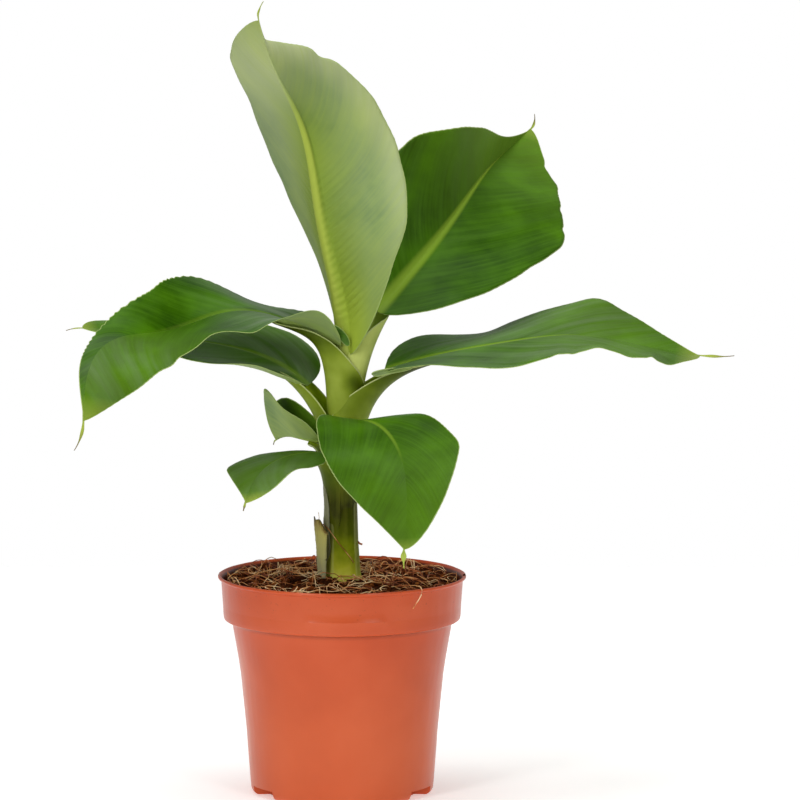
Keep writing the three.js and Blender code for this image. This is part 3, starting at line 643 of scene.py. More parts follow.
# The midrib starts at its joint and points by a bearing and a climb at even steps along it, and
# the blade rolls about it. Each half has its width, where it is widest (peak), how blunt its base
# and tip are, its lift off the flat beside the midrib and its curl out to the margin. A half may
# begin late, and have dents (share, depth, spread), scallops, a painted sheen along its margin or
# its own colours. rib is half the midrib's width, shade how pale it is and fades where it ends. lean
# is that of the side veins. The grey wax is painted sheen on the upper side and partly painted
# shade on the lower one, the paler green is partly painted light on shaded parts, and tone is the
# stalk's green, set darker and paler along it as painted shade and light.
# A stalk has the height and side of its foot, its outer radius, how far it wraps each way round
# and its wall, the share of the blade where it meets the midrib, and how far it rises and runs on.
ORDINARY = dict(
    young=0.2,  # how fresh the green is at the base of the blade
    waver=1,  # how uneven the margin and the surface are
    corrugated=0,  # depth of the folds at the base, left from when the blade was rolled up
    ripe=0,  # how far the tip of the blade has begun to dry
    grown_in=0,  # how far the stalk keeps the stem's own colour
    # The yellow inside is partly painted light on the stalk's shaded hollow.
    inside=0.5,  # how yellow the stalk is inside
    rimless=0,  # 1 where the stalk has no pale edge
    frill=(),  # waves of the right margin: share, height and spread
    # The dark places on a stalk are painted shadows.
    painted_shadows=(),  # dark places on the stalk: share, place across it, length and width
)
LEAVES = (
    dict(
        ORDINARY, number=1, joint=(-8.5, -4, 166), length=59, thick=1.1,
        bearing=(206, 215, 232, 250), climb=(8, -9, -30, -53),
        roll=(-9, -8, -1, 1),
        left=dict(width=21, peak=0.66, base=2.5, tip=2.5, point=0.56, lift=(-5, 8, 25), curl=(-15, -5)),
        right=dict(width=20.5, peak=0.68, base=1.9, tip=1.0, point=1.3, lift=(-9, 1, 13), curl=(-17, -11)),
        rib=1.3, shade=0.35, fades=0.7,
        grown_in=1.0, tone=(0.2, 0.28, 0.35),
        lean=1.2, ripe=0.05, wax_sheen_and_shade=(0.2, 0.7), pale_and_lit=(0.2, 0.3, 0.4),
        drip=dict(length=4, bearing=230, climb=-65, broad=0.6, withered=1),
        stalk=dict(foot=140, side=192, radius=(8.1, 7.8, 5), wrap=(75, 75, 50),
                   wall=(1.2, 2.2, 2.4), meets=0.14, rise=15, run=5)),
    dict(
        ORDINARY, number=2, joint=(3.5, -16, 182.5), length=113, thick=1.3,
        bearing=(-58, -63, -73, -88, -104), climb=(16, -8, -30, -48, -66),
        roll=(-13, 7, 8, 12, 8),
        left=dict(width=29, peak=0.56, base=1.0, tip=1.0, point=0.55, lift=(8, 15, 16, 11), curl=(-12, -11, -11)),
        right=dict(width=36, peak=0.46, base=2.2, tip=1.8, point=0.98, lift=(10, 9, 5, 1), curl=(-10, -13, -16)),
        rib=2.3, shade=0.55, fades=0.62, waver=0.7,
        grown_in=1.0, tone=(0.3, 0.4, 0.4),
        lean=1.6, wax_sheen_and_shade=(0.2, 0.06, 0.05), pale_and_lit=(0.08, 0.03, 0.15, 0.3),
        drip=dict(length=9, bearing=-60, climb=-80, broad=1.5, withered=0.25),
        stalk=dict(foot=150, side=272, radius=(8.2, 8, 5), wrap=(75, 80, 55),
                   wall=(1.2, 2.6, 3), meets=0.1, rise=16, run=8)),
    dict(
        ORDINARY, number=3, joint=(-10, 4, 170), length=37, thick=1.1,
        bearing=(134, 126, 124, 135), climb=(0, 0, -3, -30),
        roll=(2, -4, -4, -2),
        left=dict(width=26.5, peak=0.77, base=1.0, tip=1.0, point=0.55, lift=(57, 61, 76), curl=(0, 0)),
        right=dict(width=19, peak=0.72, base=1.0, tip=3.6, point=0.5, lift=(52, 77, 86), curl=(0, 0),
                   pale_and_lit=(0.45, 0.5, 0.3)),
        rib=1.0, shade=0.4, fades=0.7, waver=1.3,
        grown_in=1.0, tone=(0.3, 0.4, 0.4),
        lean=1.0, wax_sheen_and_shade=(0, 0), pale_and_lit=(0, 0, 0),
        drip=dict(length=3, bearing=150, climb=-75, broad=0.5, withered=1),
        stalk=dict(foot=152, side=150, radius=(8.2, 7.5, 5), wrap=(60, 70, 50),
                   wall=(1.2, 2.2, 2.4), meets=0.14, rise=9, run=5)),
    dict(
        ORDINARY, number=4, joint=(-16.3, 5, 197.5), length=116, thick=1.5,
        bearing=(160, 166, 174, 183, 190), climb=(44, 17, 7, 8, 4),
        roll=(-9, -12, -12, -9, -10),
        left=dict(width=31, peak=0.39, base=1.3, tip=1.6, point=0.74, lift=(-35, -12, 2, 3), curl=(100, 8, 0)),
        right=dict(width=29.5, peak=0.35, base=3.6, tip=1.9, point=0.55, lift=(13, 4, -4, 8), curl=(0, 0)),
        rib=2.5, shade=0.45, fades=0.75,
        grown_in=0.6, tone=(0.34, 0.38, 0.38),
        lean=1.2, ripe=0.02, inside=1.0, wax_sheen_and_shade=(2.2, 0.6, 0.05, 0), pale_and_lit=(0.22, 0.18, 0.04, 0.22),
        drip=dict(length=8, bearing=180, climb=-18, broad=0.6, withered=0.8),
        stalk=dict(foot=158, side=172, radius=(8.2, 9, 7, 5.5), wrap=(85, 85, 80, 58),
                   wall=(1.2, 2.2, 3.4, 4), meets=0.16, rise=24, run=12)),
    dict(
        ORDINARY, number=5, joint=(18.5, 0, 204.5), length=157, thick=1.8,
        bearing=(-3, 0, -4, -3, -2), climb=(22, 11, 7, -11, -7),
        roll=(17, 7, 12, 15, 21),
        left=dict(width=41, peak=0.663, base=3.5, tip=1.0, point=1.2, lift=(15, -1, 9, 19), curl=(-7, -8, -5),
                  begin=0.02),
        right=dict(width=41, peak=0.57, base=2.1, tip=1.9, point=0.5, lift=(24, 0, 14, 19), curl=(-4, -6, -4)),
        frill=((0.57, 0.6, 0.015), (0.62, -0.7, 0.015), (0.69, 2.2, 0.035), (0.79, -1.2, 0.03),
               (0.855, 1.1, 0.012), (0.91, -1.5, 0.03)),
        rib=3.2, shade=0.55, fades=0.72, young=0.25,
        left_wrap=(150, 142, 90, 62, 42, 30),
        tone=(0.42, 0.46, 0.32, 0.16, 0.12, 0.2), right_wrap=(150, 142, 97, 70, 48, 34),
        lean=1.5, ripe=0.03, wax_sheen_and_shade=(0.3, 0.5, 0.6, 0.4, 0.25), pale_and_lit=(0, 0.05, 0.25, 0.12),
        drip=dict(length=16.5, bearing=0, climb=6, broad=1.3, withered=0.8),
        stalk=dict(foot=160, side=0, radius=(9.2, 10.1, 8.8, 5.4), wrap=(150, 148, 90, 50),
                   wall=(1.2, 1.6, 2.6, 3), meets=0.2, rise=36, run=22)),
    dict(
        ORDINARY, number=6, joint=(-0.5, -6, 218), length=177, thick=2.0,
        bearing=(154, 180, 197, 218, 246, 271), climb=(24, 19, -18, 0, -31, -80),
        roll=(-28, -22, -25, -26, -13, -11),
        left=dict(width=42, peak=0.4, base=2.4, tip=2.8, point=0.71, lift=(82, 18, 29, 2, -20), curl=(0, 0)),
        right=dict(width=33, peak=0.316, base=1.6, tip=1.0, point=1.3, lift=(7, -17, 32, -17, 8),
                   curl=(-8, -6, -6), begin=0.05, scallop=0.42, pale_and_lit=(0, 0, 0, 0, 0.04, 0.2)),
        rib=4.2, shade=0.26, fades=0.66, young=0.1,
        left_wrap=(170, 172, 118, 90, 75, 55), right_wrap=(120, 108, 62, 40),
        tone=(0.44, 0.56, 0.55, 0.26, 0.12, 0.1),
        painted_shadows=((0.27, -0.8, 0.07, 0.22),),
        lean=1.0, inside=0.3, ripe=0.025, wax_sheen_and_shade=(2, 1.3, 0.1, 0.05, 0.7, 0.1),
        pale_and_lit=(0, 0, 0, 0, 0.05, 0.16, 0.22, 0.22, 0.3, 0.2),
        drip=dict(length=15, bearing=200, climb=-55, broad=0.8, withered=0.8),
        stalk=dict(foot=165, side=178, radius=(8.2, 10, 7.5, 5.2), wrap=(170, 168, 132, 60),
                   wall=(1.2, 1.6, 2.6, 2.4), meets=0.19, rise=54, run=24)),
    dict(
        ORDINARY, number=7, joint=(16.5, 3, 233.5), length=166, thick=1.9,
        bearing=(40, 51, 63, 71, 46), climb=(39, 34, 29, 13, 28),
        roll=(19, 29, 34, 33, 35),
        left=dict(width=47, peak=0.46, base=2.0, tip=1.0, point=1.3, lift=(20, 36, 51, 63), curl=(-2, 8, 16),
                  pale_and_lit=(0, 0.04, 0.25, 0.7, 0.9)),
        right=dict(width=53, peak=0.53, base=1.2, tip=1.0, point=0.68, lift=(1, 7, 13, 19), curl=(-10, -7, -3),
                   dents=((0.86, 1.6, 0.022), (0.78, -1.6, 0.03), (0.66, 0.7, 0.012), (0.58, 0.8, 0.01))),
        rib=5.2, shade=0.9, fades=1.0, young=0.4,
        tone=(0.6, 0.9, 1.0, 0.98), left_wrap=(150, 140, 100, 40),
        right_wrap=(150, 150, 150, 152, 118, 96, 60, 12, 8, 8, 8),
        lean=0.8, wax_sheen_and_shade=(0.1, 0.05), pale_and_lit=(0, 0, 0.04, 0.2, 0.5),
        drip=dict(length=8.5, bearing=150, climb=80, broad=0.7, withered=1),
        stalk=dict(foot=184, side=6, radius=(6.8, 7.2, 7.2, 5.2), wrap=(150, 140, 105, 58),
                   wall=(1.2, 1.6, 2.4, 3), meets=0.13, rise=30, run=10)),
    dict(
        ORDINARY, number=8, joint=(2, -1, 213), length=188, thick=2.0,
        bearing=(-147, -140, -125, -117, -120), climb=(86, 73, 74, 44, 68),
        roll=(-2, 4, 12, 26, 45),
        left=dict(width=44, peak=0.33, base=1.0, tip=2.7, point=1.3, lift=(0, 13, 41, 72), curl=(-9, 10, 35),
                  dents=((0.72, 2.4, 0.02), (0.6, -1.0, 0.03), (0.93, 1.6, 0.03)), painted_margin_sheen=0.45,
                  pale_and_lit=(0, 0, 0.08, 0.14, 0.3, 0.4)),
        right=dict(width=44, peak=0.5, base=1.8, tip=3.1, point=0.76, lift=(23, 32, 44, 67), curl=(-4, 2, 12),
                   pale_and_lit=(0, 0, 0.06, 0.38, 0.6, 0.3), wax_sheen_and_shade=(0.1, 0.1, 0.2, 0.25)),
        rib=5.2, shade=0.9, fades=0.86, young=1.0, waver=0.8, corrugated=0.5,
        tone=(0.72, 0.76, 0.76), rimless=1,
        lean=0.55, wax_sheen_and_shade=(0.2, 0.5, 0.5), pale_and_lit=(0, 0, 0.12),
        drip=dict(length=10, bearing=0, climb=57, broad=0.8, withered=0.45),
        stalk=dict(foot=189, side=210, radius=(4.2, 4.4, 4.2), wrap=(100, 85, 50),
                   wall=(2, 2.4, 2.6), meets=0.07, rise=10, run=8)),
)


def keyed(values, t):
    """A value read along a list of evenly spaced ones, as a smooth curve through them."""
    values = np.asarray(values, float)
    last = len(values) - 1
    x = np.clip(np.asarray(t, float), 0, 1) * last
    i = np.minimum(x.astype(int), last - 1)
    f = x - i
    b, c = values[i], values[i + 1]
    a = np.where(i > 0, values[np.maximum(i - 1, 0)], 2 * b - c)
    d = np.where(i < last - 1, values[np.minimum(i + 2, last)], 2 * c - b)
    return 0.5 * (2 * b + (c - a) * f + (2 * a - 5 * b + 4 * c - d) * f ** 2 + (3 * b - a - 3 * c + d) * f ** 3)


def pointing(bearing, climb):
    """The direction of a bearing and a climb in degrees."""
    b, c = np.radians(bearing), np.radians(climb)
    return np.stack([np.cos(c) * np.cos(b), np.cos(c) * np.sin(b), np.sin(c) + 0 * b], -1)


def rolled(along, bearing, roll):
    """The left-hand and the upper direction about a line that points along, after a roll."""
    b, r = np.radians(bearing), np.radians(roll)[..., None]
    level = np.stack([-np.sin(b), np.cos(b), 0 * b], -1)
    up = np.cross(along, level)
    up /= np.linalg.norm(up, axis=-1, keepdims=True)
    side = np.cross(up, along)
    return side * np.cos(r) + up * np.sin(r), up * np.cos(r) - side * np.sin(r)


MIDRIB_STEPS = 600


def midrib(leaf, shares):
    """Points of the midrib and its three directions at shares of the blade's length."""
    steps = np.linspace(0, 1, MIDRIB_STEPS + 1)
    halfway = (steps[1:] + steps[:-1]) / 2
    ways = pointing(keyed(leaf["bearing"], halfway), keyed(leaf["climb"], halfway))
    moves = np.cumsum(ways * leaf["length"] / MIDRIB_STEPS, 0)
    line = np.array(leaf["joint"], float) + np.vstack([[0, 0, 0], moves])
    at = np.stack([np.interp(shares, steps, line[:, k]) for k in range(3)], -1)
    bearing = keyed(leaf["bearing"], shares)
    along = pointing(bearing, keyed(leaf["climb"], shares))
    left, up = rolled(along, bearing, keyed(leaf["roll"], shares))
    return at, along, left, up


def section(at, left, up, reach, lift, curl, v):
    """Points and facing of a cross-section: a half bent up from the flat by lift, then by curl."""
    far = np.abs(v)[None, :]
    start, turn = np.radians(lift)[:, None], np.radians(curl)[:, None] * far
    turn = np.where(np.abs(turn) < 1e-4, 1e-4, turn)
    run = reach[:, None] * far
    out = run * (np.sin(start + turn) - np.sin(start)) / turn
    rise = run * (np.cos(start) - np.cos(start + turn)) / turn
    hand = np.where(v > 0, -1.0, 1.0)[None, :, None]
    points = at[:, None] + left[:, None] * out[..., None] * hand + up[:, None] * rise[..., None]
    tilt = np.where(far > 0, start + turn, 0)[..., None]
    return points, up[:, None] * np.cos(tilt) - hand * left[:, None] * np.sin(tilt)


def value_noise(x, seed):
    """Smooth random values between -1 and 1, one a unit, read at x."""
    wave = np.random.RandomState(seed).uniform(-1, 1, 4096)
    i = np.floor(x).astype(int)
    f = x - i
    f = f * f * (3 - 2 * f)
    return wave[i % 4096] * (1 - f) + wave[(i + 1) % 4096] * f


def rib_half_width(leaf, u):
    """Half the width of the midrib, which narrows towards the tip."""
    return leaf["rib"] * np.clip(1 - u, 0.04, 1) ** 1.25


def half_width(half, u):
    """Reach of one half from the midrib: its outline, its corner rounded off, and its dents."""
    begin, peak = half.get("begin", 0), half["peak"]
    shifts = (-0.03, -0.015, 0, 0.015, 0.03)
    total = 0
    for shift in shifts:
        x = np.clip(u + shift * np.clip(np.minimum(u, 1 - u) / 0.06, 0, 1), 0, 1)
        x = np.clip((x - begin) / (1 - begin), 0, 1)
        base = np.sqrt(np.clip(1 - np.clip((peak - x) / peak, 0, 1) ** half["base"], 0, 1))
        tip = np.clip(1 - np.clip((x - peak) / (1 - peak), 0, 1) ** half["tip"], 0, 1) ** half["point"]
        total = total + half["width"] * np.where(x < peak, base, tip) / len(shifts)
    for share, depth, spread in half.get("dents", ()):
        total = total - depth * np.exp(-((u - share) / spread) ** 2)
    return total


BLADE_THICK = 0.5
ROWS_PER_MM = 1.7
DRIP_ROWS = 14
# How strongly the rows crowd together at both ends, where the outline turns fastest.
CROWDING = 0.594
# How far apart the folds of a young blade and the scallops of a margin are.
FOLD_PITCH = 3.9
SCALLOP_PITCH = 3.1


def blade(leaf, materials):
    """A blade as a thin closed sheet with a midrib, lateral pleats and a withered drip tip."""
    number, length, drip = leaf["number"], leaf["length"], leaf["drip"]
    halves = leaf["left"], leaf["right"]
    main = max(90, int(length * ROWS_PER_MM))
    columns = 34 if length > 80 else 24
    shares = np.linspace(0, 1, main + 1)
    u = shares - CROWDING * np.sin(2 * np.pi * shares) / (2 * np.pi)
    at, along, left, up = midrib(leaf, u)
    # The drip tip leads on from the midrib and turns to its own direction.
    share = np.arange(1, DRIP_ROWS + 1) / DRIP_ROWS
    tail_way = pointing(np.float64(drip["bearing"]), np.float64(drip["climb"]))
    way = along[-1] * (1 - share[:, None]) + tail_way * share[:, None]
    way /= np.linalg.norm(way, axis=1)[:, None]
    at = np.vstack([at, at[-1] + np.cumsum(way * drip["length"] / DRIP_ROWS, 0)])
    left, up = (np.vstack([part, np.repeat(part[-1:], DRIP_ROWS, 0)]) for part in (left, up))
    u = np.concatenate([u, np.ones(DRIP_ROWS)])
    drip_share = np.concatenate([np.zeros(main + 1), share])
    on_blade = 1 - drip_share
    far = np.linspace(0, 1, columns + 1) ** 1.45
    v = np.concatenate([-far[:0:-1], far])
    # The drip tip is pinched where it leaves the blade, broader past that and thin at its end.
    bead = np.sin(np.pi * np.clip(drip_share / 0.75, 0, 1)) ** 2
    drip_half = 0.5 - 0.3 * drip_share + (drip["broad"] - 0.35) * bead
    grids = []
    for half, part in zip(halves, (v < 0, v >= 0)):
        # The margin is never quite even.
        width = half_width(half, u)
        seed = number * 7 + part[0]
        width = width * (1 + 0.014 * leaf["waver"] * value_noise(u * length / 9, seed))
        wave = np.sin(u * length / SCALLOP_PITCH * math.tau + 4 * value_noise(u * length / 9, seed + 50))
        wave = wave * (0.7 + 0.5 * value_noise(u * length / 15, seed + 70))
        width = width + half.get("scallop", 0.08) * wave * step(3, 12, width)
        width = np.maximum(width, np.where(drip_share > 0, drip_half, 0.5))
        lift, curl = (keyed(half[kind], u) * on_blade for kind in ("lift", "curl"))
        grids.append((*section(at, left, up, width, lift, curl, v[part]), np.tile(width, (part.sum(), 1)).T))
    points, facing, width = (np.concatenate(both, 1) for both in zip(*grids))
    out = width * np.abs(v)
    margin = width - out
    run = (u * length + drip_share * drip["length"])[:, None]
    side = np.where(v < 0, 1, 2)[None, :]
    # Lateral veins leave the midrib steeply and lean towards the tip as they near the margin.
    vein = run - leaf["lean"] * (out + out ** 2 / 90) + side * 500
    pleat = 0.6 * value_noise(vein / 2.3, number) + 0.4 * value_noise(vein / 5.5, number + 20)
    pleat = pleat * (0.55 + 0.45 * value_noise(out / 12 + side * 30, number + 30))
    folds = leaf["corrugated"] * np.sin(vein / FOLD_PITCH * math.tau) * step(0, 3, out) * (1 - step(10, 24, out))
    folds = folds * step(0.06, 0.14, u)[:, None] * (1 - step(0.38, 0.58, u))[:, None]
    spread = step(0, 7, out) * step(0, 5, margin) * on_blade[:, None]
    ripple = value_noise(run / 13 + side * 40, number + 40) * step(0.45, 1, np.abs(v)) * step(4, 16, width)
    puff = value_noise(run / 26 + side * 60, number + 60) * np.sin(np.pi * np.abs(v)) * step(6, 20, width)
    frill = 0
    for place, height, wide in leaf["frill"]:
        frill = frill + height * np.exp(-((u[:, None] - place) / wide) ** 2) * (v > 0) * step(0.3, 1, np.abs(v))
    raised = 0.1 * pleat * spread + folds + 0.75 * ripple * leaf["waver"] + 0.6 * puff + frill
    # The midrib is a round ridge below and a shallow groove above.
    rib = rib_half_width(leaf, u)[:, None]
    near = np.clip(out / rib, 0, 4)
    begin = step(0, leaf["stalk"]["meets"] * 0.7, u)[:, None] * on_blade[:, None]
    ridge = rib * 0.85 * begin * np.clip(1 - near ** 2, 0, 1) ** 0.8
    shade = ((1 - step(leaf["fades"] - 0.3, leaf["fades"], u)) * on_blade)[:, None]
    groove = 0.25 * rib * begin * np.exp(-(near / 0.6) ** 2) * shade
    thick = BLADE_THICK / 2 * (0.45 + 0.55 * step(0, 2.5, margin))
    upper = points + facing * (raised + thick - groove)[..., None]
    lower = points + facing * (raised - thick - ridge)[..., None]
    obj = piece(f"leaf_{number}", *sheet(upper, lower), materials, "leaf_blade", [f"blade_{number}"])
    rows, across = out.shape
    top = (rows - 1) * (across - 1)
    obj.data.polygons.foreach_set("material_index", [0] * top + [1] * (len(obj.data.polygons) - top))
    note_sheet(obj, "leaf_place", out.shape, vein, out, margin)
    young = leaf["young"] * (1 - step(0.02, 0.42, u))[:, None] * (1 - 0.6 * step(6, 26, out))
    note_sheet(obj, "rib_place", out.shape, near + 4 * drip_share[:, None], leaf["shade"] * shade, young)
    tip = u + drip_share * drip["withered"] + leaf["ripe"] * step(0.5, 1, u)
    # The paler green is partly painted light on shaded parts of a blade. The grey wax is painted sheen on the
    # upper side and partly painted shade on the lower one.
    pale_and_lit, wax_sheen_and_shade = (np.where(v < 0, *(keyed(half.get(kind, leaf[kind]), u)[:, None] for half in halves))
                   for kind in ("pale_and_lit", "wax_sheen_and_shade"))
    # Painted sheen: a paler band is painted along the margin of a half.
    painted_margin_sheen = np.where(v < 0, *(half.get("painted_margin_sheen", 0) for half in halves))
    pale_and_lit = pale_and_lit + painted_margin_sheen * (1 - step(1, 17, margin)) * step(0.12, 0.45, u)[:, None]
    note_sheet(obj, "leaf_tone", out.shape, tip[:, None], wax_sheen_and_shade, pale_and_lit)
    lay_out(obj, rows, across)


def lay_out(obj, rows, across):
    """A flat layout for the blade: the upper side beside the lower one, joined at one margin."""
    layer = obj.data.uv_layers.new(name="OFBake")
    corner = np.zeros(len(obj.data.loops), int)
    starts, totals = np.zeros((2, len(obj.data.polygons)), int)
    obj.data.loops.foreach_get("vertex_index", corner)
    obj.data.polygons.foreach_get("loop_start", starts)
    obj.data.polygons.foreach_get("loop_total", totals)
    lower = corner >= rows * across
    i, j = np.divmod(corner % (rows * across), across)
    x = np.where(lower, 0.98 - 0.46 * j / (across - 1), 0.02 + 0.46 * j / (across - 1))
    owner = np.repeat(np.arange(len(starts)), totals)
    mixed = np.add.reduceat(lower.astype(int), starts)[owner]
    margin_face = (mixed > 0) & (mixed < totals[owner]) & (j == 0) & ~lower
    x = np.where(margin_face, 0.995, x)
    layer.data.foreach_set("uv", np.stack([x, 0.01 + 0.98 * i / (rows - 1)], -1).ravel())


STALK_ROWS = 64
STALK_TAIL = 26
STALK_FOOT = 16
STALK_COLUMNS = 26
FOOT_REACH = 24.0
UNDER_MIDRIB = 0.3


def stalk_line(leaf, t):
    """A stalk's line up out of its foot and over to its midrib, then a stretch along under it."""
    s = leaf["stalk"]
    turn = math.radians(s["side"])
    x, _ = stem_at(s["foot"])
    foot = np.array([x + s["radius"][0] * math.cos(turn), s["radius"][0] * math.sin(turn), s["foot"]])
    at, along, _, up = (part[0] for part in midrib(leaf, np.array([s["meets"]])))
    end = at - up * (leaf["thick"] / 2 + UNDER_MIDRIB + s["wall"][-1])
    high, back, t = foot + (0, 0, s["rise"]), end - along * s["run"], t[:, None]
    return foot * (1 - t) ** 3 + high * 3 * t * (1 - t) ** 2 + back * 3 * t * t * (1 - t) + end * t ** 3


def stalk(leaf, skin_material):
    """A stalk: a gutter that starts as a sheath round the stem and ends under the midrib."""
    s, number = leaf["stalk"], leaf["number"]
    t = np.linspace(0, 1, STALK_ROWS)
    line = stalk_line(leaf, t)
    along = np.gradient(line, axis=0)
    along /= np.linalg.norm(along, axis=1)[:, None]
    target = float(keyed(leaf["bearing"], s["meets"]))
    side = s["side"] - 360 * round((s["side"] - target) / 360)
    left, up = rolled(along, side + (target - side) * t, float(keyed(leaf["roll"], s["meets"])) * t * t)
    radius, wall = keyed(s["radius"], t), keyed(s["wall"], t)
    # Past its meeting point the gutter closes into the round underside of the midrib.
    q = np.linspace(0, 1, STALK_TAIL + 1)[1:]
    u = s["meets"] + min(0.12, 15 / leaf["length"]) * q
    at, _, tail_left, tail_up = midrib(leaf, u)
    drop = leaf["thick"] / 2 + UNDER_MIDRIB + wall[-1]
    drop = drop + (rib_half_width(leaf, u) * 0.3 - drop) * step(0, 1, q)
    # Below its foot the sheath thins out and sinks into the stem.
    p = np.linspace(1, 0, STALK_FOOT + 1)[:-1]
    low = s["foot"] - FOOT_REACH * p
    turn = math.radians(s["side"])
    stem_x, stem_radius = stem_at(low)
    sunk = s["radius"][0] + (stem_radius - 1.0 - s["radius"][0]) * step(0, 1, p) - 0.2 * p
    foot = np.stack([stem_x + sunk * math.cos(turn), sunk * math.sin(turn), low], -1)
    line = np.vstack([foot, line, at - tail_up * drop[:, None]])
    left, up = (np.vstack([np.repeat(part[:1], STALK_FOOT, 0), part, tail])
                for part, tail in ((left, tail_left), (up, tail_up)))
    wall = np.concatenate([np.full(STALK_FOOT, wall[0]), wall, wall[-1] + (0.25 - wall[-1]) * step(0, 1, q)])
    v = np.linspace(-1, 1, 2 * STALK_COLUMNS + 1)
    v = np.sign(v) * np.abs(v) ** 0.8
    grids = []
    for hand, part in (("left_wrap", v < 0), ("right_wrap", v >= 0)):
        wrap = keyed(leaf.get(hand, s["wrap"]), t)
        start = radius[-1] * math.radians(wrap[-1])
        tongue = wrap[0] * (1 - 0.6 * step(0.2, 1, p))
        reach = np.concatenate([sunk * np.radians(tongue), radius * np.radians(wrap),
                                start + (0.3 - start) * step(0, 1, q)])
        turn = np.concatenate([tongue, wrap, wrap[-1] + (70 - wrap[-1]) * q])
        grids.append((*section(line, left, up, reach, 0 * turn, turn, v[part]),
                      reach[:, None] * (1 - np.abs(v[part]))[None, :]))
    points, facing, edge = (np.concatenate(both, 1) for both in zip(*grids))
    depth = np.maximum(wall[:, None] * (1 - 0.88 * v[None, :] ** 2), 0.32)
    length = np.concatenate([[0], np.cumsum(np.linalg.norm(np.diff(line, axis=0), axis=1))])
    sway = 0.25 * value_noise(length[:, None] / 8 + np.sign(v)[None, :] * 9 + number * 31, 5)
    points = points + facing * (sway * step(0.6, 1, np.abs(v))[None, :])[..., None]
    obj = piece(f"leaf_stalk_{number}", *sheet(points + facing * depth[..., None], points), [skin_material],
                "stalk_skin", [f"stalk_{number}"])
    along_share = np.concatenate([np.zeros(STALK_FOOT), t, np.ones(STALK_TAIL)])
    tail_share = np.concatenate([np.zeros(STALK_FOOT + STALK_ROWS), q])
    # The stalk's green from dark to pale, set along it as painted shade and painted light as well as its own
    # colour.
    green = keyed(leaf["tone"], along_share)[:, None] + 0 * edge
    # Painted shadows darken the stalk's green in places.
    for share, place, long, wide in leaf["painted_shadows"]:
        green = green - 0.5 * np.exp(-((along_share[:, None] - share) / long) ** 2 - ((v - place) / wide) ** 2)
    # Its foot has the stem's own colour, and an old stalk keeps that further up.
    low = np.concatenate([p, np.zeros(STALK_ROWS + STALK_TAIL)])
    grown_in = leaf["grown_in"] * (1 - step(0.05, 0.45, along_share))
    grown_in = np.maximum(grown_in, (1 - step(0, 0.1, along_share)) * (0.35 + 0.65 * step(0, 0.5, low)))[:, None]
    # Its pale edge shows where this is near 0: not at its foot, nor where it ends under the midrib.
    rim = np.maximum(edge + 3 * leaf["rimless"], 3 * step(0, 0.3, tail_share)[:, None]) + 3 * grown_in
    # A yellower inside, partly painted light on the shaded hollow.
    inside = np.reshape([leaf["inside"], 0], (2, 1, 1))
    note_sheet(obj, "stalk_place", edge.shape, green, rim, inside)
    note_sheet(obj, "grown_in", edge.shape, grown_in)


# Stalk skin: the same living green as the stem, olive on shaded stalks and yellower on young ones,
# with a thin pale edge and a grey bloom of wax that shows as soft mottling of about 17 mm. Its green
# is set darker and paler along each stalk as painted shade and painted light, and its yellow inside
# is partly painted light on the shaded hollow.
stalk_skin, tree, skin = material("banana leaf stalk skin")
place = add(tree, "TexCoord").outputs["Object"]
parts = noted(tree, "stalk_place", parts=True)
mottle = add(tree, "TexNoise", {"Vector": place, "Scale": 60.0, "Detail": 3.0})
shift = add(tree, "Math", {0: mottle, 1: 0.5, 2: -0.25}, operation="MULTIPLY_ADD")
tone = add(tree, "Math", {0: parts["X"], 1: shift}, operation="ADD")
colour = add(tree, "ValToRGB", {"Fac": tone},
             ((0.0, "#333E04"), (0.22, "#586A0E"), (0.45, "#82942A"), (0.62, "#A0B044"), (0.8, "#C0CC66"),
              (1.0, "#E8F290")))
rim = add(tree, "MapRange", {"Value": parts["Y"], "From Min": 0.75, "From Max": 0.25})
for share, over in ((parts["Z"], "#98AE1A"), (noted(tree, "grown_in"), stem_green(tree)[0]), (rim, "#C2CC86")):
    colour = add(tree, "Mix", {"Factor": share, "A": colour, "B": over}, data_type="RGBA")
fill(skin, {"Base Color": colour, "Roughness": 0.45, "Specular IOR Level": 0.08})


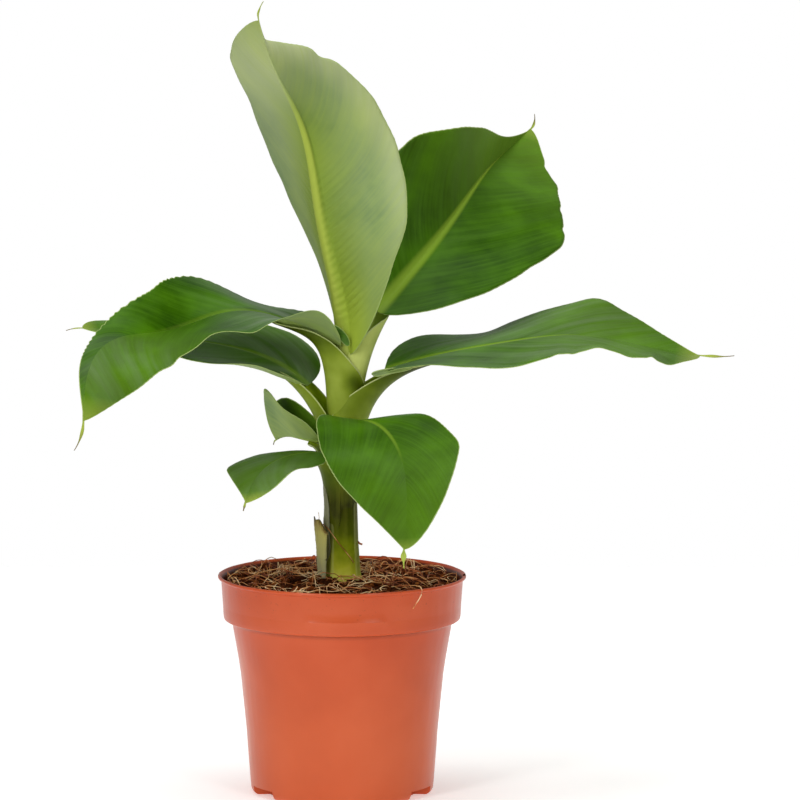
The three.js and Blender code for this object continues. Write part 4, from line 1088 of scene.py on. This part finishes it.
def blade_skin(name, greens, patches, pale_and_lit_green, vein_green, rib_green, young_green, wax_sheen_shade_colour, dusty, flush):
    """A side of a blade: mottled green, soft veins, the midrib, a pale margin and the drip tip."""
    made, tree, skin = material(name)
    place = add(tree, "TexCoord").outputs["Object"]
    where = add(tree, "Attribute", attribute_name="leaf_place").outputs["Vector"]
    parts = add(tree, "SeparateXYZ", {"Vector": where}).outputs
    tone, rib = (noted(tree, kind, parts=True) for kind in ("leaf_tone", "rib_place"))
    mottle = add(tree, "TexNoise", {"Vector": place, "Scale": patches, "Detail": 4.0})
    colour = add(tree, "ValToRGB", {"Fac": mottle}, greens)
    # Veins: about two a millimetre at their finest, drawn every two millimetres so that they show.
    # Here a scale is in waves a millimetre, across the veins and along them.
    drawn = add(tree, "Mapping", {"Vector": where, "Scale": (0.42, 0.035, 0)})
    vein = add(tree, "TexNoise", {"Vector": drawn, "Scale": 1.0, "Detail": 3.0, "Roughness": 0.6})
    lined = add(tree, "MapRange", {"Value": vein, "From Min": 0.42, "From Max": 0.64, "To Max": 0.28})
    # A grey bloom of wax lies along the veins in smears 14 mm wide and 50 mm long. On the upper side it is
    # painted sheen, and on the lower side it is real wax, set stronger as painted shade on some blades.
    smear = add(tree, "Mapping", {"Vector": where, "Scale": (0.07, 0.02, 0)})
    wax_sheen_and_shade = add(tree, "TexNoise", {"Vector": smear, "Scale": 1.0, "Detail": 5.0})
    wax_sheen_shade_share = add(tree, "MapRange", {"Value": wax_sheen_and_shade, "From Min": 0.38, "From Max": 0.72, "To Max": dusty})
    wax_sheen_shade_mix = add(tree, "Math", {0: wax_sheen_shade_share, 1: tone["Y"]}, operation="MULTIPLY")
    # The green is fresher beside the midrib, and the midrib itself is paler.
    beside = add(tree, "MapRange", {"Value": parts["Y"], "From Min": 2.0, "From Max": 24.0, "To Min": flush,
                                    "To Max": 0.0})
    ribbed = add(tree, "MapRange", {"Value": rib["X"], "From Min": 1.1, "From Max": 0.3},
                 interpolation_type="SMOOTHSTEP")
    flushed, middle = (add(tree, "Math", {0: share, 1: rib["Y"]}, operation="MULTIPLY")
                       for share in (beside, ribbed))
    edged = add(tree, "MapRange", {"Value": parts["Z"], "From Min": 0.55, "From Max": 0.2})
    # The drip tip turns yellow-green and then dries.
    tipped = add(tree, "MapRange", {"Value": tone["X"], "From Min": 0.95, "From Max": 1.08})
    dried = add(tree, "MapRange", {"Value": tone["X"], "From Min": 1.3, "From Max": 1.7})
    for share, over in ((tone["Z"], pale_and_lit_green), (lined, vein_green), (wax_sheen_shade_mix, wax_sheen_shade_colour), (flushed, "#809A18"),
                        (rib["Z"], young_green), (middle, rib_green), (edged, "#A9BD72"), (tipped, "#A8B84E"),
                        (dried, "#7E7048")):
        colour = add(tree, "Mix", {"Factor": share, "A": colour, "B": over}, data_type="RGBA")
    fine = add(tree, "Bump", {"Height": vein, "Strength": 0.32, "Distance": 0.0004})
    fill(skin, {"Base Color": colour, "Normal": fine})
    return made, skin


# Upper side of a blade: dark green under a thin clear wax, so it is satin with broad soft
# highlights. Fine veins run out from a pale midrib to a thin pale margin. Its patches of darker and
# lighter green are about 25 mm across. Its grey smears of wax are painted sheen, and its paler green
# is partly painted light.
upper_skin, skin = blade_skin(
    "banana leaf, waxy upper side", greens=((0.32, "#234800"), (0.5, "#345E00"), (0.68, "#467602")), patches=40.0,
    pale_and_lit_green="#7A9E30", vein_green="#56861A", rib_green="#8CAC36", young_green="#4C7A0C", wax_sheen_shade_colour="#8F9F86",
    dusty=0.45, flush=0.0)
fill(skin, {"Roughness": 0.36, "IOR": 1.45, "Specular IOR Level": 0.045})

# Lower side: the same leaf without the dark layer and under a grey bloom of wax, so it is pale,
# matt and a little blue. The midrib stands out round and yellow-green, and the pleats show. Its
# patches are about 40 mm across. Where its wax is set strong, the darker grey is painted shade, and
# its paler green is partly painted light.
lower_skin, skin = blade_skin(
    "banana leaf, bloomed lower side",
    greens=((0.3, "#5F7F4E"), (0.44, "#809A5C"), (0.58, "#93AA5E"), (0.74, "#A6BA5C")), patches=26.0,
    pale_and_lit_green="#C4CC98", vein_green="#A8BA62", rib_green="#B2C24E", young_green="#A8BE3E", wax_sheen_shade_colour="#78886E",
    dusty=0.55, flush=0.85)
fill(skin, {"Roughness": 0.62, "IOR": 1.4, "Specular IOR Level": 0.2})

for leaf in LEAVES:
    stalk(leaf, stalk_skin)
    blade(leaf, [upper_skin, lower_skin])


def ear(name, spine, across, widths, hollow, skin_material, tone):
    """A small lobe at the base of a blade, beside its stalk: a hollow strip with rounded ends. Its
    tone is its grey wax, painted sheen on an upper side and painted shade on a lower one, and how pale it is."""
    share = np.linspace(0, 1, 22)
    v = np.linspace(-1, 1, 9)
    at = np.stack([keyed(way, share) for way in zip(*spine)], -1)
    along = np.gradient(at, axis=0)
    along /= np.linalg.norm(along, axis=1)[:, None]
    side = np.array(across, float) - along * (along @ np.array(across, float))[:, None]
    side /= np.linalg.norm(side, axis=1)[:, None]
    ends = np.sqrt(np.clip(1 - np.abs(2 * share - 1) ** 5, 0.004, 1))
    reach = keyed(widths, share) * ends
    points, out = section(at, side, np.cross(side, along), reach, 0 * share, 0 * share + hollow, v)
    sides = points + out * BLADE_THICK / 2, points - out * BLADE_THICK / 2
    obj = piece(name, *sheet(*sides), [skin_material], "leaf_blade", [])
    off, margin = reach[:, None] * v, reach[:, None] * (1 - np.abs(v))
    note_sheet(obj, "leaf_place", off.shape, share[:, None] * 14 + off, off, margin)
    note_sheet(obj, "rib_place", off.shape, 4, 0, 0)
    note_sheet(obj, "leaf_tone", off.shape, 0.3, *tone)


ear("leaf_6_ear", spine=((-6.5, -6, 227.2), (-3.0, -7.6, 226.4), (0.6, -8.4, 222.8), (3.3, -8.2, 218.4)),
    across=(0.6, 0, 0.8), widths=(1.2, 1.8, 2.1, 1.7), hollow=40, skin_material=upper_skin, tone=(0.5, 0.1))
ear("leaf_5_ear", spine=((34, -13.5, 208.4), (27.5, -13, 207.8), (20.8, -12.6, 206.8), (14.3, -12, 205.2)),
    across=(0, -0.4, 0.9), widths=(0.8, 1.5, 1.9, 2.3), hollow=60, skin_material=lower_skin, tone=(1.6, 0))

# ---------------------------------------------------------------------------------------------
# Studio. A white seamless table, faintly lit from below, in a white room with three softboxes,
# as for a plant catalogue.
FLOOR_HALF = 0.7
paper, tree, skin = material("white acrylic table")
grain = add(tree, "TexNoise", {"Scale": 40.0})
tone = add(tree, "ValToRGB", {"Fac": grain}, ((0.0, "#F4F4F3"), (1.0, "#F8F8F7")))
fill(skin, {"Base Color": tone, "Roughness": 0.9, "Emission Color": "#FFFFFF", "Emission Strength": 0.4})
mesh = bpy.data.meshes.new("white_table")
corners = [(x * FLOOR_HALF, y * FLOOR_HALF, 0) for x, y in ((-1, -1), (1, -1), (1, 1), (-1, 1))]
mesh.from_pydata(corners, [], [(0, 1, 2, 3)])
mesh.materials.append(paper)
floor = bpy.data.objects.new("white_table", mesh)
bpy.context.scene.collection.objects.link(floor)
floor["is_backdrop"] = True

# The white wall behind the plant is lit and the rest of the room is dim. Where the room is seen
# it is white all round.
DIM_ROOM = 0.16
LIT_WALL = 0.5
world = bpy.data.worlds.new("white room")
world.use_nodes = True
tree = world.node_tree
depth = add(tree, "SeparateXYZ", {"Vector": add(tree, "TexCoord").outputs["Generated"]}).outputs["Y"]
behind = add(tree, "MapRange", {"Value": depth, "From Min": -0.1, "From Max": 0.6, "To Min": DIM_ROOM,
                                "To Max": LIT_WALL}, interpolation_type="SMOOTHSTEP")
seen = add(tree, "LightPath").outputs["Is Camera Ray"]
strength = add(tree, "Mix", {"Factor": seen, "A": behind, "B": 1.0})
fill(tree.nodes["Background"], {"Color": "#FFFFFF", "Strength": strength})
bpy.context.scene.world = world
bpy.context.scene.view_settings.view_transform = "Standard"


def softbox(name, at, aim, size, watts):
    """A soft light of a given width and height, turned to face a point."""
    lamp = bpy.data.lights.new(name, "AREA")
    lamp.shape = "RECTANGLE"
    lamp.size, lamp.size_y = size
    lamp.energy = watts
    obj = bpy.data.objects.new(name, lamp)
    bpy.context.scene.collection.objects.link(obj)
    obj.location = at
    obj.rotation_euler = (Vector(aim) - Vector(at)).to_track_quat("-Z", "Y").to_euler()


softbox("softbox_left", (-1.0, -1.5, 0.9), (0, 0, 0.2), (0.4, 1.1), 11)
softbox("softbox_right", (0.9, -1.6, 0.8), (0, 0, 0.2), (0.4, 1.1), 8)
softbox("softbox_top", (-0.1, -0.1, 1.5), (0, 0, 0.15), (0.9, 0.9), 12)

# ---------------------------------------------------------------------------------------------
# Camera. It stands five metres off, a little above the plant, on a long lens.
CAMERA_DISTANCE = 5.0
CAMERA_DOWN = math.radians(8)
CAMERA_AIM = (0.028, 0, 0.191)
VIEW_WIDTH = 0.3856
lens = bpy.data.cameras.new("camera")
lens.sensor_width = 36
lens.lens = lens.sensor_width * CAMERA_DISTANCE / VIEW_WIDTH
lens.clip_end = 50
camera = bpy.data.objects.new("camera", lens)
bpy.context.scene.collection.objects.link(camera)
camera.location = (CAMERA_AIM[0], -CAMERA_DISTANCE * math.cos(CAMERA_DOWN),
                   CAMERA_AIM[2] + CAMERA_DISTANCE * math.sin(CAMERA_DOWN))
camera.rotation_euler = (math.pi / 2 - CAMERA_DOWN, 0, 0)
bpy.context.scene.camera = camera

low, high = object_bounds()
